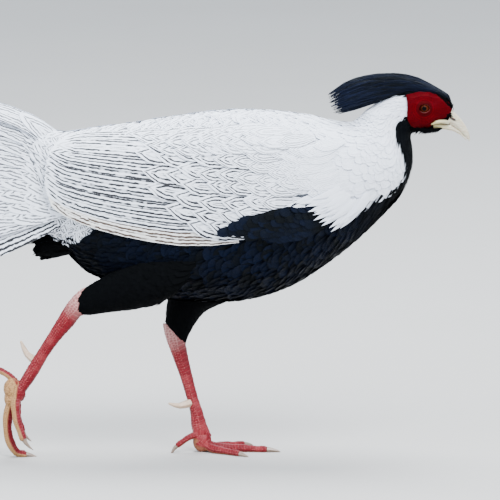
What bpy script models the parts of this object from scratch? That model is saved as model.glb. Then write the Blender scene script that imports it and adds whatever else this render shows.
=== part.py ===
"""A male silver pheasant in mid-stride, life size, as a still museum model.

The bird faces +X and its left side is +Y. The floor is at z = 0, and the origin is under the middle of
its length.
Sizes are written in millimetres and become metres when a mesh is made.
"""

import math
import random

import bmesh
import bpy
from mathutils import Matrix, Vector

MM = 0.001
GAP = 0.3  # between two pieces that touch
SLIVER = 0.03  # edges shorter than this are merged away
FLAT_ANGLE = 1.5  # degrees between faces that are taken as one plane
SIDE_AXIS = Vector((0, 1, 0))

# Colour (linear RGB), roughness and metallic value of each finish
FINISHES = {
    "white_feather": ((0.80, 0.81, 0.84), 0.7, 0.0),
    "black_feather": ((0.010, 0.013, 0.028), 0.45, 0.0),
    "red_skin": ((0.36, 0.005, 0.012), 0.6, 0.0),
    "leg_skin": ((0.50, 0.06, 0.07), 0.5, 0.0),
    "horn": ((0.72, 0.66, 0.50), 0.35, 0.0),
    "eye": ((0.10, 0.03, 0.01), 0.05, 0.0),
}

# Each row of a trunk form: back point (x, z), belly point (x, z), half width, sideways place
TORSO_ROWS = [
    (104, 303, 110, 243, 17, 0),
    (112, 322, 112, 204, 35, 0),
    (138, 328, 134, 184, 50, 0),
    (175, 333, 180, 166, 58, 0),
    (220, 340, 225, 156, 63, 0),
    (270, 346, 280, 155, 65, 0),
    (315, 346, 335, 170, 64, 0),
    (352, 342, 388, 205, 59, 0),
    (378, 336, 428, 242, 50, 0),
    (394, 334.5, 448, 265, 41, 0),
]
NECK_ROWS = [
    (394, 334.5, 448, 265, 41, 0),
    (402, 338, 456.5, 286, 33.5, 0),
    (409, 344.5, 457.5, 304, 27, 0),
    (418, 353, 455.5, 320, 22, 0),
]
HEAD_ROWS = [
    (418, 353, 455.5, 320, 22, 0),
    (430, 362, 457.5, 323, 19.5, 0),
    (443, 369.5, 460.5, 325.5, 17.5, 0),
    (457, 373.5, 465, 327, 15.8, 0),
    (471, 371, 471, 328, 14.2, 0),
    (483, 364.5, 478, 328.5, 11.5, 0),
    (491.5, 357, 485, 329, 8.5, 0),
    (496, 349.5, 491, 331.5, 5.6, 0),
]
# The flank that the folded wings lie on: the torso's, run on past its end to the sides of the tail
FLANK_ROWS = [
    (60, 328, 62, 196, 35, 0),
    (112, 330, 112, 190, 47.5, 0),
    (138, 332, 134, 180, 54, 0),
    (175, 336, 180, 164, 60.5, 0),
    (220, 342, 225, 155, 65, 0),
    (270, 347, 280, 154, 66.5, 0),
    (315, 347, 335, 169, 65.5, 0),
    (352, 343, 388, 204, 60.5, 0),
    (378, 337, 428, 241, 51.5, 0),
]
TAIL_ROOT_ROWS = [
    (124, 318, 124, 236, 20, 0),
    (92, 322, 96, 234, 20, 0),
    (68, 330, 76, 226, 15, 0),
    (46, 342, 58, 222, 7, 0),
]
BODY_POWER = 2.15  # of the cross-section; 2 is an ellipse, and more is squarer
FLAT = 0

# Tail: eight pairs of feathers, the middle pair longest
TAIL_PAIRS = 8
TAIL_LENGTHS = [757, 640, 540, 450, 385, 330, 284, 244]
TAIL_ROOT_TOP = (112, 302)
TAIL_ROOT_LOW = (120, 252)
TAIL_RISE = 56  # degrees above level at the root of the middle pair
TAIL_DROOP = -46  # degrees that it tends to at the tip
TAIL_ARCH = 165  # length over which it bends
TAIL_FAN = 80  # degrees from the middle pair to the outer pair at the root
TAIL_FAN_LENGTH = 110  # length over which the fan closes
TAIL_STEP = 8  # length of each straight piece of a feather's path
TAIL_SPREAD = [2.5, 8, 13.5, 18.5, 23, 27, 30, 32.5]  # sideways place of each pair's shaft
TAIL_ROLL = [48, 39, 32, 26, 21, 17.5, 14.5, 12.5]  # degrees of each vane from upright
TAIL_INNER = [3, 17, 18, 18, 18, 17, 16, 15]  # vane width above the shaft
TAIL_OUTER = [30, 23, 22, 21, 20, 19, 18, 17]  # vane width below the shaft
TAIL_TAPER = 0.35  # share of the sideways spread that is lost by the tip of the longest feather
TAIL_STATIONS = [0, 0.12, 0.28, 0.46, 0.64, 0.8, 0.93, 1]
SHORT_TAIL_STATIONS = [0, 0.25, 0.5, 0.75, 0.93, 1]  # of the outer four pairs
# Upper tail coverts: share of the fan, length, lift above the tail, start along the path, inner and
# outer width
TAIL_COVERTS = [
    (0.00, 262, 3.2, 16, 3, 30),
    (0.24, 225, 3.2, 12, 17, 20),
    (0.50, 188, 3.2, 8, 17, 20),
    (0.08, 172, 6.2, 2, 6, 26),
    (0.36, 150, 6.2, -2, 16, 19),
]
COVERT_STATIONS = [0, 0.4, 0.8, 1]
# Black feathers under the tail: sideways place, rise in degrees, length, half width, root height
VENT_TUFTS = [
    (0, 14, 66, 14, 219),
    (14, 12, 56, 12, 220),
    (-14, 12, 56, 12, 220),
    (8, 4, 52, 12, 211),
    (-8, 4, 52, 12, 211),
    (0, -6, 40, 12, 203),
]
VENT_ROOT_X = 124
VENT_ROOT = (112, 0, 213)
VENT_ROOT_SIZE = (30, 24, 15)

# Wing: flight feathers in side view
FLIGHT_COUNT = 11
FLIGHT_ROOT_TOP = (262, 318)
FLIGHT_ROOT_LOW = (284, 227)
FLIGHT_TIPS = [(108, 322), (98, 312), (93, 302), (91, 287), (92, 274), (97, 260)]  # top to bottom
FLIGHT_SAG = (-4, 10)  # how far the middle of the top and bottom feathers hangs under a straight line
FLIGHT_HALF_WIDTH = 10.2
FLIGHT_STATIONS = [0, 0.36, 0.7, 0.92, 1]
# Rows of coverts from the back forward: count, lift, half width, length, slope in degrees of the top and
# bottom feather
COVERT_ROWS = [
    (6, 4.0, 10.4, 58, (3, -14)),
    (6, 4.4, 9.6, 52, (5, -10)),
    (5, 4.8, 9.8, 50, (6, -4)),
    (4, 5.2, 9.6, 46, (8, 4)),
]
COVERT_TIPS = [  # of each row, top to bottom
    [(200, 325), (184, 316), (181, 306), (189, 291), (198, 273), (216, 254), (238, 238)],
    [(240, 327), (222, 317), (219, 303), (226, 285), (243, 265), (266, 248)],
    [(278, 326), (259, 315), (256, 301), (266, 281), (290, 262)],
    [(308, 319), (293, 308), (294, 292), (314, 275)],
]
SHINGLE = 1.25  # lift of a vane's lower edge, and drop of its upper edge
COVERT_SINK = 3.6  # how much deeper a covert's root lies than its tip
WING_CORE_TOP = [(206, 312), (240, 322), (285, 326), (325, 320), (352, 302)]
WING_CORE_LOW = [(206, 270), (240, 240), (285, 236), (325, 254), (352, 288)]
WING_CORE_LIFT = 3.0
COVERT_THICK = 1.4  # along the shaft; a wing vane thins out to its edges
TAIL_THICK = 0.8

# Crest: its upper and lower outline in side view, from the forehead to the tips, and its half width
CREST_TOP = [
    (496, 353), (494, 361), (487, 366), (475, 373), (460, 380),
    (443, 383), (424, 383), (404, 379), (389, 372), (375, 361),
]
CREST_LOW = [
    (495, 350), (489, 357), (481, 362), (470, 364), (455, 364),
    (441, 361), (426, 357), (410, 353), (396, 348), (381, 347),
]
CREST_WIDTH = [3.5, 5, 7, 10, 12.5, 14, 14.5, 14, 12, 8]
# Rings of locks: start and end along the crest, half width of a lock, angles round it from the top
CREST_RINGS = [
    (0.02, 0.38, 3.2, (-44, 44)),
    (0.10, 0.56, 4.2, (-80, 0, 80)),
    (0.26, 0.76, 4.8, (-104, -48, 48, 104)),
    (0.42, 0.92, 5.0, (-118, -72, -10, 34, 84, 128)),
    (0.52, 0.99, 4.8, (-146, -92, -44, 4, 52, 100, 150)),
    (0.58, 1.04, 4.6, (-112, -26, 22, 76, 180)),
]
LOCK_THICK = 1.5
CREST_SEED = 28  # of the small differences between the locks
# How far out a lock lies from its root to its tip, as a share of the outline
CREST_SLOPE = (0.6, 0.88, 0.97, 1.03)
CREST_CORE = 0.78  # size of the core under the locks, as a share of the outline
CREST_CORE_END = 0.66  # where it ends along the crest

# Head details, as (x, z) in side view
EYE_AT = (468.5, 350)
EYE_RADIUS = 6.6
EYE_SIDE = 10.6
LID_RADIUS = 5.4
# Red face: radius at each angle round the eye, in degrees from +X towards +Z
FACE_RIM = [
    (-60, 17), (-32, 20.5), (-20, 27), (0, 28.5), (18, 24.5), (34, 21.5), (56, 16.5), (90, 15.5),
    (124, 18.5), (150, 23), (165, 17.5), (185, 17), (216, 20.5), (240, 22.5), (265, 22), (285, 20),
]
FACE_SPOKES = 20
FACE_RINGS = 4
FACE_THICK = 2.6
UPPER_BILL_ROWS = [
    (492, 352, 488, 333.5, 5.4, 0),
    (497.5, 346, 493.5, 331.6, 5.8, 0),
    (502, 341.3, 498, 329.6, 4.9, 0),
    (506.5, 336.3, 502, 326.6, 3.9, 0),
    (510.4, 330.4, 506, 323.4, 2.9, 0),
    (513.2, 324.7, 509.5, 320, 1.9, 0),
    (514.4, 319, 512.4, 317, 1.0, 0),
    (514.2, 315.6, 513.6, 315.2, 0.4, 0),
]
LOWER_BILL_ROWS = [
    (478, 331.6, 478, 327.6, 7.4, 0),
    (485, 330.6, 486, 326.6, 6.2, 0),
    (494, 328.4, 495, 325, 4.8, 0),
    (501.5, 325, 502, 322.2, 3.5, 0),
    (507, 320.8, 507, 318.9, 2.2, 0),
    (511, 317, 510.6, 316, 1.0, 0),
]
GAPE_PATH = [(475.5, 334), (481, 336.2), (487, 336.4), (493, 335.2)]
NOSTRIL_AT = (499.2, 337.4)

# Legs. Rear point (x, z), front point (x, z), half width, sideways place
LEFT_THIGH_ROWS = [
    (206, 182, 300, 178, 26, 32),
    (212, 158, 284, 156, 24, 31),
    (210.5, 141, 253, 141, 17, 28),
    (210, 132, 241, 128.5, 12.5, 26.5),
    (210.5, 127.5, 233.5, 115.5, 9.4, 25.5),
    (219, 113, 230.5, 107.5, 6, 25),
]
RIGHT_THIGH_ROWS = [
    (236, 214, 210, 158, 27, -36),
    (190, 206, 200, 154, 25, -35.5),
    (160, 190, 176, 150, 19, -34),
    (143, 180, 152, 147, 14.5, -33),
    (130, 171.5, 134, 144.5, 10.5, -32),
    (124, 165, 124, 146, 7, -31.5),
]
LEFT_SHANK_ROWS = [
    (207, 128, 229, 122, 5, 25),
    (209, 118, 229.5, 112, 6.6, 24),
    (212.5, 107, 231, 102, 5.6, 22.5),
    (217.5, 94, 233, 92, 4.7, 20.5),
    (225, 74, 237.5, 73, 4.2, 17),
    (231.5, 53, 242.5, 54, 4.2, 13.5),
    (235, 39, 247, 41, 5.0, 11),
    (236, 26, 251, 28, 6.4, 9.5),
    (239, 14, 256, 16, 7.2, 9),
]
RIGHT_SHANK_ROWS = [
    (131, 173, 136, 147, 4.5, -31.5),
    (124, 168.5, 126, 143.5, 6.6, -31),
    (114, 158, 119, 134.5, 5.6, -30.5),
    (106, 145.5, 109.5, 124, 4.8, -29.5),
    (96, 128.5, 102, 115, 4.2, -28.5),
    (84, 109, 93, 102, 4.2, -27),
    (74, 93, 84, 86, 4.8, -26),
    (66.5, 80, 75, 72.5, 5.6, -25),
    (61, 70, 66, 61, 6.2, -24.5),
]
SHANK_SCUTES = 12
SCUTE_RISE = 0.5
# Toes: path of (x, y, z) from inside the shank, radius at the root and at the end
LEFT_TOES = {
    "middle": ([(249, 9, 9), (260, 9, 4.6), (277, 8, 3.7), (294, 6.5, 3.1), (311, 5, 2.6)], 5.2, 3.3),
    "inner": ([(249, 6, 9), (256, 1, 4.6), (269, -9, 3.4), (284, -20, 2.4)], 4.8, 3.0),
    "outer": ([(249, 12, 9), (256, 17, 4.6), (269, 27, 3.4), (288, 39.5, 2.4)], 4.8, 3.0),
    "hind": ([(244, 7, 17), (236, 4.5, 16), (228, 2, 11.5), (222, 0.5, 7.2)], 3.9, 2.5),
}
RIGHT_TOES = {
    "middle": (
        [(62, -24.5, 64), (57, -24, 55), (53, -24, 38), (54, -24, 20), (61, -23.5, 5.6), (70, -23, 2.5)],
        5.2,
        3.3,
    ),
    "inner": ([(63, -21, 64), (62, -18, 55), (62.5, -14, 40), (67, -11, 24.5)], 4.6, 2.9),
    "outer": ([(62, -28, 64), (61, -32, 54), (63, -36.5, 38), (69, -40, 21)], 4.6, 2.9),
    "hind": ([(65, -24, 69), (58, -22.5, 79), (50, -21, 85), (42.5, -20, 88)], 3.8, 2.4),
}
CLAW_LENGTHS = {"middle": 13.5, "inner": 11, "outer": 11, "hind": 9}
CLAW_DROP = {"middle": 0.12, "inner": 0.14, "outer": 0.14, "hind": 0.75}
# The way that the toes' upper sides face: up on the planted foot, and ahead on the lifted one
TOE_UPPER_SIDES = {"left": (0, 0, 1), "right": (1, 0, 0.6)}
TOE_PADS = {"middle": 3, "inner": 2, "outer": 3, "hind": 1}
TOE_SCUTES = {"middle": 8, "inner": 6, "outer": 6, "hind": 3}
# Ball of each foot, where its toes meet: centre and radii
FOOT_BALLS = {
    "left": ((247, 9, 10.2), (9.6, 8.8, 10.8)),
    "right": ((62.5, -24.5, 65), (8.6, 8.6, 10)),
}
# Spurs: root and tip on the inner rear of each shank, as (x, y, z), and the root's radius
SPURS = {
    "left": ((234.5, 10.5, 49), (224, 4.5, 47), (214, 0.5, 50), 3.3),
    "right": ((81, -22.5, 97), (72, -17.5, 103), (66, -13.5, 115), 3.3),
}


def clear_scene():
    for obj in list(bpy.data.objects):
        bpy.data.objects.remove(obj)


def new_collection(name):
    collection = bpy.data.collections.new(name)
    bpy.context.scene.collection.children.link(collection)
    return collection


def finish_named(name):
    """The Principled material of one of the FINISHES, made when it is first asked for."""
    if name in bpy.data.materials:
        return bpy.data.materials[name]
    colour, roughness, metallic = FINISHES[name]
    material = bpy.data.materials.new(name)
    material.use_nodes = True
    shader = material.node_tree.nodes["Principled BSDF"]
    shader.inputs["Base Color"].default_value = (*colour, 1)
    shader.inputs["Roughness"].default_value = roughness
    shader.inputs["Metallic"].default_value = metallic
    material.diffuse_color = (*colour, 1)
    return material


def object_from(name, points, faces, collection):
    """An object whose points are given in millimetres."""
    mesh = bpy.data.meshes.new(name)
    mesh.from_pydata([Vector(p) * MM for p in points], [], faces)
    mesh.validate()
    obj = bpy.data.objects.new(name, mesh)
    collection.objects.link(obj)
    return obj


def smooth_between(rows, share):
    """A row between the given ones, on a Catmull-Rom curve through them. share runs from 0 to 1."""
    place = min(max(share, 0.0), 1.0) * (len(rows) - 1)
    i = min(int(place), len(rows) - 2)
    t = place - i
    here, after = rows[i], rows[i + 1]
    before = rows[i - 1] if i else [2 * a - b for a, b in zip(here, after)]
    beyond = rows[i + 2] if i + 2 < len(rows) else [2 * b - a for a, b in zip(here, after)]
    made = []
    for a, b, c, d in zip(before, here, after, beyond):
        square = 2 * a - 5 * b + 4 * c - d
        cube = 3 * b - a - 3 * c + d
        made.append(0.5 * (2 * b + (c - a) * t + square * t * t + cube * t ** 3))
    return made


def spread(first, last, count):
    return [first + (last - first) * i / (count - 1) for i in range(count)]


class Form:
    """A rounded trunk whose sections run from a back point to a belly point and out to a half width."""

    def __init__(self, rows, rings=7, sides=20, ends=(4, 4), power=BODY_POWER):
        self.rows = rows
        self.rings = rings
        self.sides = sides
        self.ends = ends  # how far each end is domed, or FLAT where the next trunk goes on from it
        self.power = power

    def section(self, share):
        """Middle, unit vector towards the back, half height and half width."""
        bx, bz, vx, vz, half, side = smooth_between(self.rows, share)
        back, belly = Vector((bx, side, bz)), Vector((vx, side, vz))
        rise = (back - belly) / 2
        return (back + belly) / 2, rise.normalized(), rise.length, half

    def point(self, share, angle, grow=0.0):
        """The surface point at an angle from the back (0) round the left side (90) to the belly (180)."""
        middle, up, height, half = self.section(share)
        c, s = math.cos(math.radians(angle)), math.sin(math.radians(angle))
        curve = 2 / self.power
        along = math.copysign(abs(c) ** curve, c) * (height + grow)
        out = math.copysign(abs(s) ** curve, s) * (half + grow)
        return middle + up * along + SIDE_AXIS * out

    def flank(self, x, z):
        """The half width of the surface over the point (x, z) of the side view."""
        low, high = 0.0, 1.0
        for _ in range(28):
            share = (low + high) / 2
            bx, bz, vx, vz = smooth_between(self.rows, share)[:4]
            ahead = (x - bx) * (bz - vz) - (z - bz) * (bx - vx)
            low, high = (share, high) if ahead > 0 else (low, share)
        middle, up, height, half = self.section((low + high) / 2)
        level = min(abs((Vector((x, middle.y, z)) - middle).dot(up)) / height, 0.97)
        return middle.y + half * (1 - level ** self.power) ** (1 / self.power)

    def on_flank(self, x, z, lift):
        """The point over (x, z) on the left flank, raised from it along its normal."""
        step = 2.0
        y = self.flank(x, z)
        slope_x = (self.flank(x + step, z) - self.flank(x - step, z)) / (2 * step)
        slope_z = (self.flank(x, z + step) - self.flank(x, z - step)) / (2 * step)
        return Vector((x, y, z)) + Vector((-slope_x, 1, -slope_z)).normalized() * lift

    def mesh(self, name, collection, grow=0.0, swell=None):
        """The closed form, grown outwards all round. swell(share, angle) adds to its radius."""
        shares = spread(0, 1, self.rings)
        loops = []
        for share in shares:
            loop = []
            for j in range(self.sides):
                angle = 360 * j / self.sides
                loop.append(self.point(share, angle, swell(share, angle) if swell else 0.0))
            loops.append(loop)
        poles = []
        for k, inner, dome in ((0, 1, self.ends[0]), (-1, -2, self.ends[1])):
            middle = self.section(shares[k])[0]
            outward = (middle - self.section(shares[inner])[0]).normalized()
            shift = -GAP / 2 if dome == FLAT else 0
            loops[k] = [p + outward * shift for p in loops[k]]
            poles.append(middle + outward * (dome + shift))
        return grown(tube(name, loops, poles, collection), grow)


def tube(name, loops, ends, collection):
    """A closed skin over loops of points, with a pole at each end.
    Its squares are all split the same way, so that a grown copy keeps its distance everywhere."""
    sides = len(loops[0])
    points = [p for loop in loops for p in loop] + list(ends)
    faces = []
    for k in range(len(loops) - 1):
        for j in range(sides):
            a, b = k * sides + j, k * sides + (j + 1) % sides
            faces += [(a, b, b + sides), (a, b + sides, a + sides)]
    first, last = len(points) - 2, len(points) - 1
    top = (len(loops) - 1) * sides
    for j in range(sides):
        faces.append((first, (j + 1) % sides, j))
        faces.append((last, top + j, top + (j + 1) % sides))
    return outward_facing(object_from(name, points, faces, collection))


def blade(name, stations, collection):
    """A thin vane. Each station lists (outer, inner) points from one edge to the other.
    Both faces are split into triangles alike, so that they never cross."""
    across = len(stations[0])
    points = [p for station in stations for pair in station for p in pair]
    faces = []

    def spot(k, j, inner):
        return (k * across + j) * 2 + inner

    for k in range(len(stations) - 1):
        for j in range(across - 1):
            for inner in (0, 1):
                a, b = spot(k, j, inner), spot(k, j + 1, inner)
                c, d = spot(k + 1, j + 1, inner), spot(k + 1, j, inner)
                faces += [(a, b, c), (a, c, d)]
        for j in (0, across - 1):
            a, b = spot(k, j, 0), spot(k, j, 1)
            c, d = spot(k + 1, j, 1), spot(k + 1, j, 0)
            faces += [(a, b, c), (a, c, d)]
    for k in (0, len(stations) - 1):
        for j in range(across - 1):
            a, b = spot(k, j, 0), spot(k, j, 1)
            c, d = spot(k, j + 1, 1), spot(k, j + 1, 0)
            faces += [(a, b, c), (a, c, d)]
    obj = object_from(name, points, faces, collection)
    mesh = bmesh.new()
    mesh.from_mesh(obj.data)
    bmesh.ops.remove_doubles(mesh, verts=mesh.verts, dist=1e-7)
    mesh.to_mesh(obj.data)
    mesh.free()
    return outward_facing(obj)


def outward_facing(obj):
    mesh = bmesh.new()
    mesh.from_mesh(obj.data)
    bmesh.ops.recalc_face_normals(mesh, faces=mesh.faces)
    if mesh.calc_volume(signed=True) < 0:
        bmesh.ops.reverse_faces(mesh, faces=mesh.faces)
    mesh.to_mesh(obj.data)
    mesh.free()
    return obj


def grown(obj, distance):
    """Moves every point of the object's skin outwards by the distance."""
    if distance:
        normals = [v.normal.copy() for v in obj.data.vertices]
        for vert, normal in zip(obj.data.vertices, normals):
            vert.co += normal * distance * MM
        obj.data.update()
    return obj


def keep_largest(obj):
    """Leaves only the object's largest closed surface. Surfaces that share only a point are two."""
    mesh = bmesh.new()
    mesh.from_mesh(obj.data)
    waiting, groups = set(mesh.faces), []
    while waiting:
        group, stack = [], [waiting.pop()]
        while stack:
            face = stack.pop()
            group.append(face)
            for edge in face.edges:
                for other in edge.link_faces:
                    if other in waiting:
                        waiting.discard(other)
                        stack.append(other)
        groups.append(group)

    def reach(group):
        spots = [vert.co for face in group for vert in face.verts]
        return sum(max(p[i] for p in spots) - min(p[i] for p in spots) for i in range(3))

    groups.sort(key=reach)
    bmesh.ops.delete(mesh, geom=[face for group in groups[:-1] for face in group], context="FACES")
    mesh.to_mesh(obj.data)
    mesh.free()


def combine(obj, others, operation, solver="MANIFOLD"):
    """Joins the other objects to obj, or cuts them from it, and removes them."""
    helpers = new_collection("helpers")
    for other in others:
        for collection in list(other.users_collection):
            collection.objects.unlink(other)
        helpers.objects.link(other)
    step = obj.modifiers.new("combine", "BOOLEAN")
    step.operand_type = "COLLECTION"
    step.collection = helpers
    step.operation = operation
    step.solver = solver
    bpy.context.view_layer.update()
    graph = bpy.context.evaluated_depsgraph_get()
    made = bpy.data.meshes.new_from_object(obj.evaluated_get(graph))
    obj.modifiers.clear()
    obj.data = made
    for other in list(helpers.objects):
        bpy.data.objects.remove(other)
    bpy.data.collections.remove(helpers)
    keep_largest(obj)
    return obj


def fewer_faces(obj):
    """Takes out the slivers that Booleans leave, and merges faces that lie in one plane, where that leaves
    the skin closed."""
    for sliver in (SLIVER, 0):
        mesh = bmesh.new()
        mesh.from_mesh(obj.data)
        if sliver:
            bmesh.ops.dissolve_degenerate(mesh, edges=mesh.edges, dist=sliver * MM)
        flat = math.radians(FLAT_ANGLE)
        bmesh.ops.dissolve_limit(mesh, angle_limit=flat, verts=mesh.verts, edges=mesh.edges)
        bmesh.ops.triangulate(mesh, faces=mesh.faces)
        closed = all(len(edge.link_faces) == 2 for edge in mesh.edges)
        if closed:
            mesh.to_mesh(obj.data)
        mesh.free()
        if closed:
            return


def finished(obj, name, finish, sharp_angle=40):
    """Names the node, gives it its material and shades it smooth up to an angle."""
    fewer_faces(obj)
    obj.name = name
    obj.data.name = name
    obj.data.materials.clear()
    obj.data.materials.append(finish_named(finish))
    obj.data.shade_smooth()
    obj.data.set_sharp_from_angle(angle=math.radians(sharp_angle))
    return obj


def mirrored(obj, name, collection, instead=False):
    """A copy on the other side of the bird's middle plane, or instead of the first."""
    other = bpy.data.objects.new(name, obj.data.copy())
    other.data.name = name
    other.data.transform(Matrix.Scale(-1, 4, SIDE_AXIS))
    other.data.flip_normals()
    collection.objects.link(other)
    if instead:
        bpy.data.objects.remove(obj)
    return other


def feather_width(t):
    """The share of its full width that a vane has at t along it: a narrow quill and a rounded tip."""
    quill = 0.35 + 0.65 * min(t / 0.22, 1.0)
    tip = math.sqrt(max(1 - max((t - 0.62) / 0.38, 0.0) ** 2.2, 0.0))
    return quill * max(tip, 0.06)


def wing_vane(flank, name, root, tip, sag, half_width, lifts, stations, collection):
    """A vane that lies on the flank, from root to tip in side view. lifts are those of its root and tip."""
    along = Vector((tip[0] - root[0], tip[1] - root[1]))
    down = Vector((along.y, -along.x)).normalized()
    if down.y > 0:
        down = -down
    rows = []
    for t in stations:
        bow = 4 * t * (1 - t)
        middle = Vector(root) + along * t + down * sag * bow
        slope = along.normalized() + down * sag * 4 * (1 - 2 * t) / along.length
        across = Vector((-slope.y, slope.x)).normalized()
        if across.y < 0:
            across = -across
        half = half_width * feather_width(t)
        lift = lifts[0] + (lifts[1] - lifts[0]) * t
        row = []
        for place, edge in ((1, -SHINGLE), (0, 0.15), (-1, SHINGLE)):
            spot = middle + across * half * place
            thick = 0 if place else COVERT_THICK
            outer = flank.on_flank(spot.x, spot.y, lift + edge + thick / 2)
            inner = flank.on_flank(spot.x, spot.y, lift + edge - thick / 2)
            row.append((outer, inner))
        rows.append(row)
    return blade(name, rows, collection)


def wing_core(flank, collection):
    """The fleshy wing under the coverts, a plate that follows the flank."""
    rows = []
    for share in spread(0, 1, 6):
        top = smooth_between(WING_CORE_TOP, share)
        low = smooth_between(WING_CORE_LOW, share)
        bulge = math.sqrt(max(1 - (2 * share - 1) ** 4, 0.0))
        row = []
        for place in spread(0, 1, 5):
            x = top[0] + (low[0] - top[0]) * place
            z = top[1] + (low[1] - top[1]) * place
            rim = math.sqrt(max(1 - (2 * place - 1) ** 4, 0.0)) * bulge
            low_lift = -3.5 if 0 < place < 1 else 0.6
            outer = flank.on_flank(x, z, 0.6 + WING_CORE_LIFT * rim)
            row.append((outer, flank.on_flank(x, z, low_lift)))
        rows.append(row)
    return blade("wing_core", rows, collection)


def build_wing(flank, collection):
    """The folded left wing: flight feathers, then rows of coverts over their roots."""
    pieces = []
    for i in range(FLIGHT_COUNT):
        share = i / (FLIGHT_COUNT - 1)
        root = [a + (b - a) * share for a, b in zip(FLIGHT_ROOT_TOP, FLIGHT_ROOT_LOW)]
        sag = FLIGHT_SAG[0] + (FLIGHT_SAG[1] - FLIGHT_SAG[0]) * share
        tip = smooth_between(FLIGHT_TIPS, share)
        vane = (root, tip, sag, FLIGHT_HALF_WIDTH, (0.4, 1.6), FLIGHT_STATIONS)
        pieces.append(wing_vane(flank, f"flight{i}", *vane, collection))
    for k, (count, lift, half_width, length, slopes) in enumerate(COVERT_ROWS):
        for i in range(count):
            share = i / (count - 1)
            tip = smooth_between(COVERT_TIPS[k], share)
            lean = math.radians(slopes[0] + (slopes[1] - slopes[0]) * share)
            root = (tip[0] + length * math.cos(lean), tip[1] + length * math.sin(lean))
            vane = (root, tip, 1.5, half_width, (lift - COVERT_SINK, lift), COVERT_STATIONS)
            pieces.append(wing_vane(flank, f"covert{k}_{i}", *vane, collection))
    return combine(wing_core(flank, collection), pieces, "UNION")


def tail_path(fan_share, length):
    """Points and directions of a tail feather's shaft in side view, a step apart."""
    x = TAIL_ROOT_TOP[0] + (TAIL_ROOT_LOW[0] - TAIL_ROOT_TOP[0]) * fan_share
    z = TAIL_ROOT_TOP[1] + (TAIL_ROOT_LOW[1] - TAIL_ROOT_TOP[1]) * fan_share
    path, gone = [], 0.0
    while gone <= length + TAIL_STEP:
        arch = TAIL_DROOP + (TAIL_RISE - TAIL_DROOP) * math.exp(-gone / TAIL_ARCH)
        angle = math.radians(arch - TAIL_FAN * fan_share * math.exp(-gone / TAIL_FAN_LENGTH))
        direction = Vector((-math.cos(angle), 0, math.sin(angle)))
        path.append((Vector((x, 0, z)), direction))
        x += direction.x * TAIL_STEP
        z += direction.z * TAIL_STEP
        gone += TAIL_STEP
    return path


def between_pairs(values, fan_share):
    """A value for any place in the fan from the list of one for each pair."""
    place = fan_share * (len(values) - 1)
    i = min(int(place), len(values) - 2)
    return values[i] + (values[i + 1] - values[i]) * (place - i)


def tail_vane(name, fan_share, length, start, lift, inner, outer, stations, collection):
    """One feather of the left half of the tail, which leans outwards like a tile on a roof."""
    path = tail_path(fan_share, max(length, 0) + 40)
    roll = math.radians(between_pairs(TAIL_ROLL, fan_share))
    rows = []
    for t in stations:
        gone = start + length * t
        place = max(gone, 0) / TAIL_STEP
        i = min(int(place), len(path) - 2)
        here, direction = path[i]
        middle = here + direction * (gone - i * TAIL_STEP)
        up = Vector((direction.z, 0, -direction.x))
        up = up if up.z > 0 else -up
        shrink = 1 - TAIL_TAPER * max(gone, 0) / TAIL_LENGTHS[0]
        side = between_pairs(TAIL_SPREAD, fan_share) * shrink
        down_across = -up * math.cos(roll) + SIDE_AXIS * math.sin(roll)
        normal = up * math.sin(roll) + SIDE_AXIS * math.cos(roll)
        middle = middle + SIDE_AXIS * side + normal * lift
        wide = feather_width(t)
        row = []
        for reach in (-inner, outer):
            spot = middle + down_across * reach * wide
            row.append((spot + normal * TAIL_THICK / 2, spot - normal * TAIL_THICK / 2))
        rows.append(row)
    return blade(name, rows, collection)


def build_tail(collection):
    """Sixteen tail feathers and the long coverts over their roots, fused at a short root."""
    pieces = []
    for i, length in enumerate(TAIL_LENGTHS):
        share = i / (TAIL_PAIRS - 1)
        stations = TAIL_STATIONS if i < TAIL_PAIRS // 2 else SHORT_TAIL_STATIONS
        widths = (TAIL_INNER[i], TAIL_OUTER[i])
        vane = tail_vane(f"tail{i}", share, length, 0, 0, *widths, stations, collection)
        pieces += [vane, mirrored(vane, f"tail{i}_right", collection)]
    for i, (share, length, lift, start, inner, outer) in enumerate(TAIL_COVERTS):
        vane = tail_vane(f"over{i}", share, length, start, lift, inner, outer, COVERT_STATIONS, collection)
        pieces += [vane, mirrored(vane, f"over{i}_right", collection)]
    core = Form(TAIL_ROOT_ROWS, 7, 10).mesh("tail_core", collection)
    return combine(core, pieces, "UNION")


def lock(name, path, half_widths, middle, collection):
    """A flat tapered tuft along a path, with its flat side facing away from the middle of the crest."""
    loops = []
    for k, (spot, half) in enumerate(zip(path, half_widths)):
        after, before = path[min(k + 1, len(path) - 1)], path[max(k - 1, 0)]
        along = (after - before).normalized()
        normal = Vector((0.15 * (spot.x - middle.x), spot.y, spot.z - middle.z))
        normal = (normal - along * normal.dot(along)).normalized()
        across = along.cross(normal)
        thick = LOCK_THICK * half / max(half_widths) / 2
        side, rise = across * half, normal * thick
        loops.append([spot + side, spot + rise, spot - side, spot - rise])
    end = path[-1] + (path[-1] - path[-2]).normalized() * half_widths[-1]
    start = path[0] + (path[0] - path[1]).normalized() * half_widths[0] * 0.5
    return tube(name, loops, (start, end), collection)


def crest_point(along, angle, size=1.0):
    """A point on the crest's outline, at an angle from its top, towards the left side if positive."""
    top = Vector(smooth_between(CREST_TOP, along))
    low = Vector(smooth_between(CREST_LOW, along))
    half = smooth_between([(w,) for w in CREST_WIDTH], along)[0]
    over = max(along - 1, 0)
    middle = (top + low) / 2 + Vector((-1, -0.6)) * over * 130
    rise = (top - low) / 2 * size * (1 - 2.5 * over)
    turn = math.radians(angle)
    side = half * size * math.sin(turn) * (1 - 2.5 * over)
    spot = middle + rise * math.cos(turn)
    return Vector((spot.x, side, spot.y))


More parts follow.
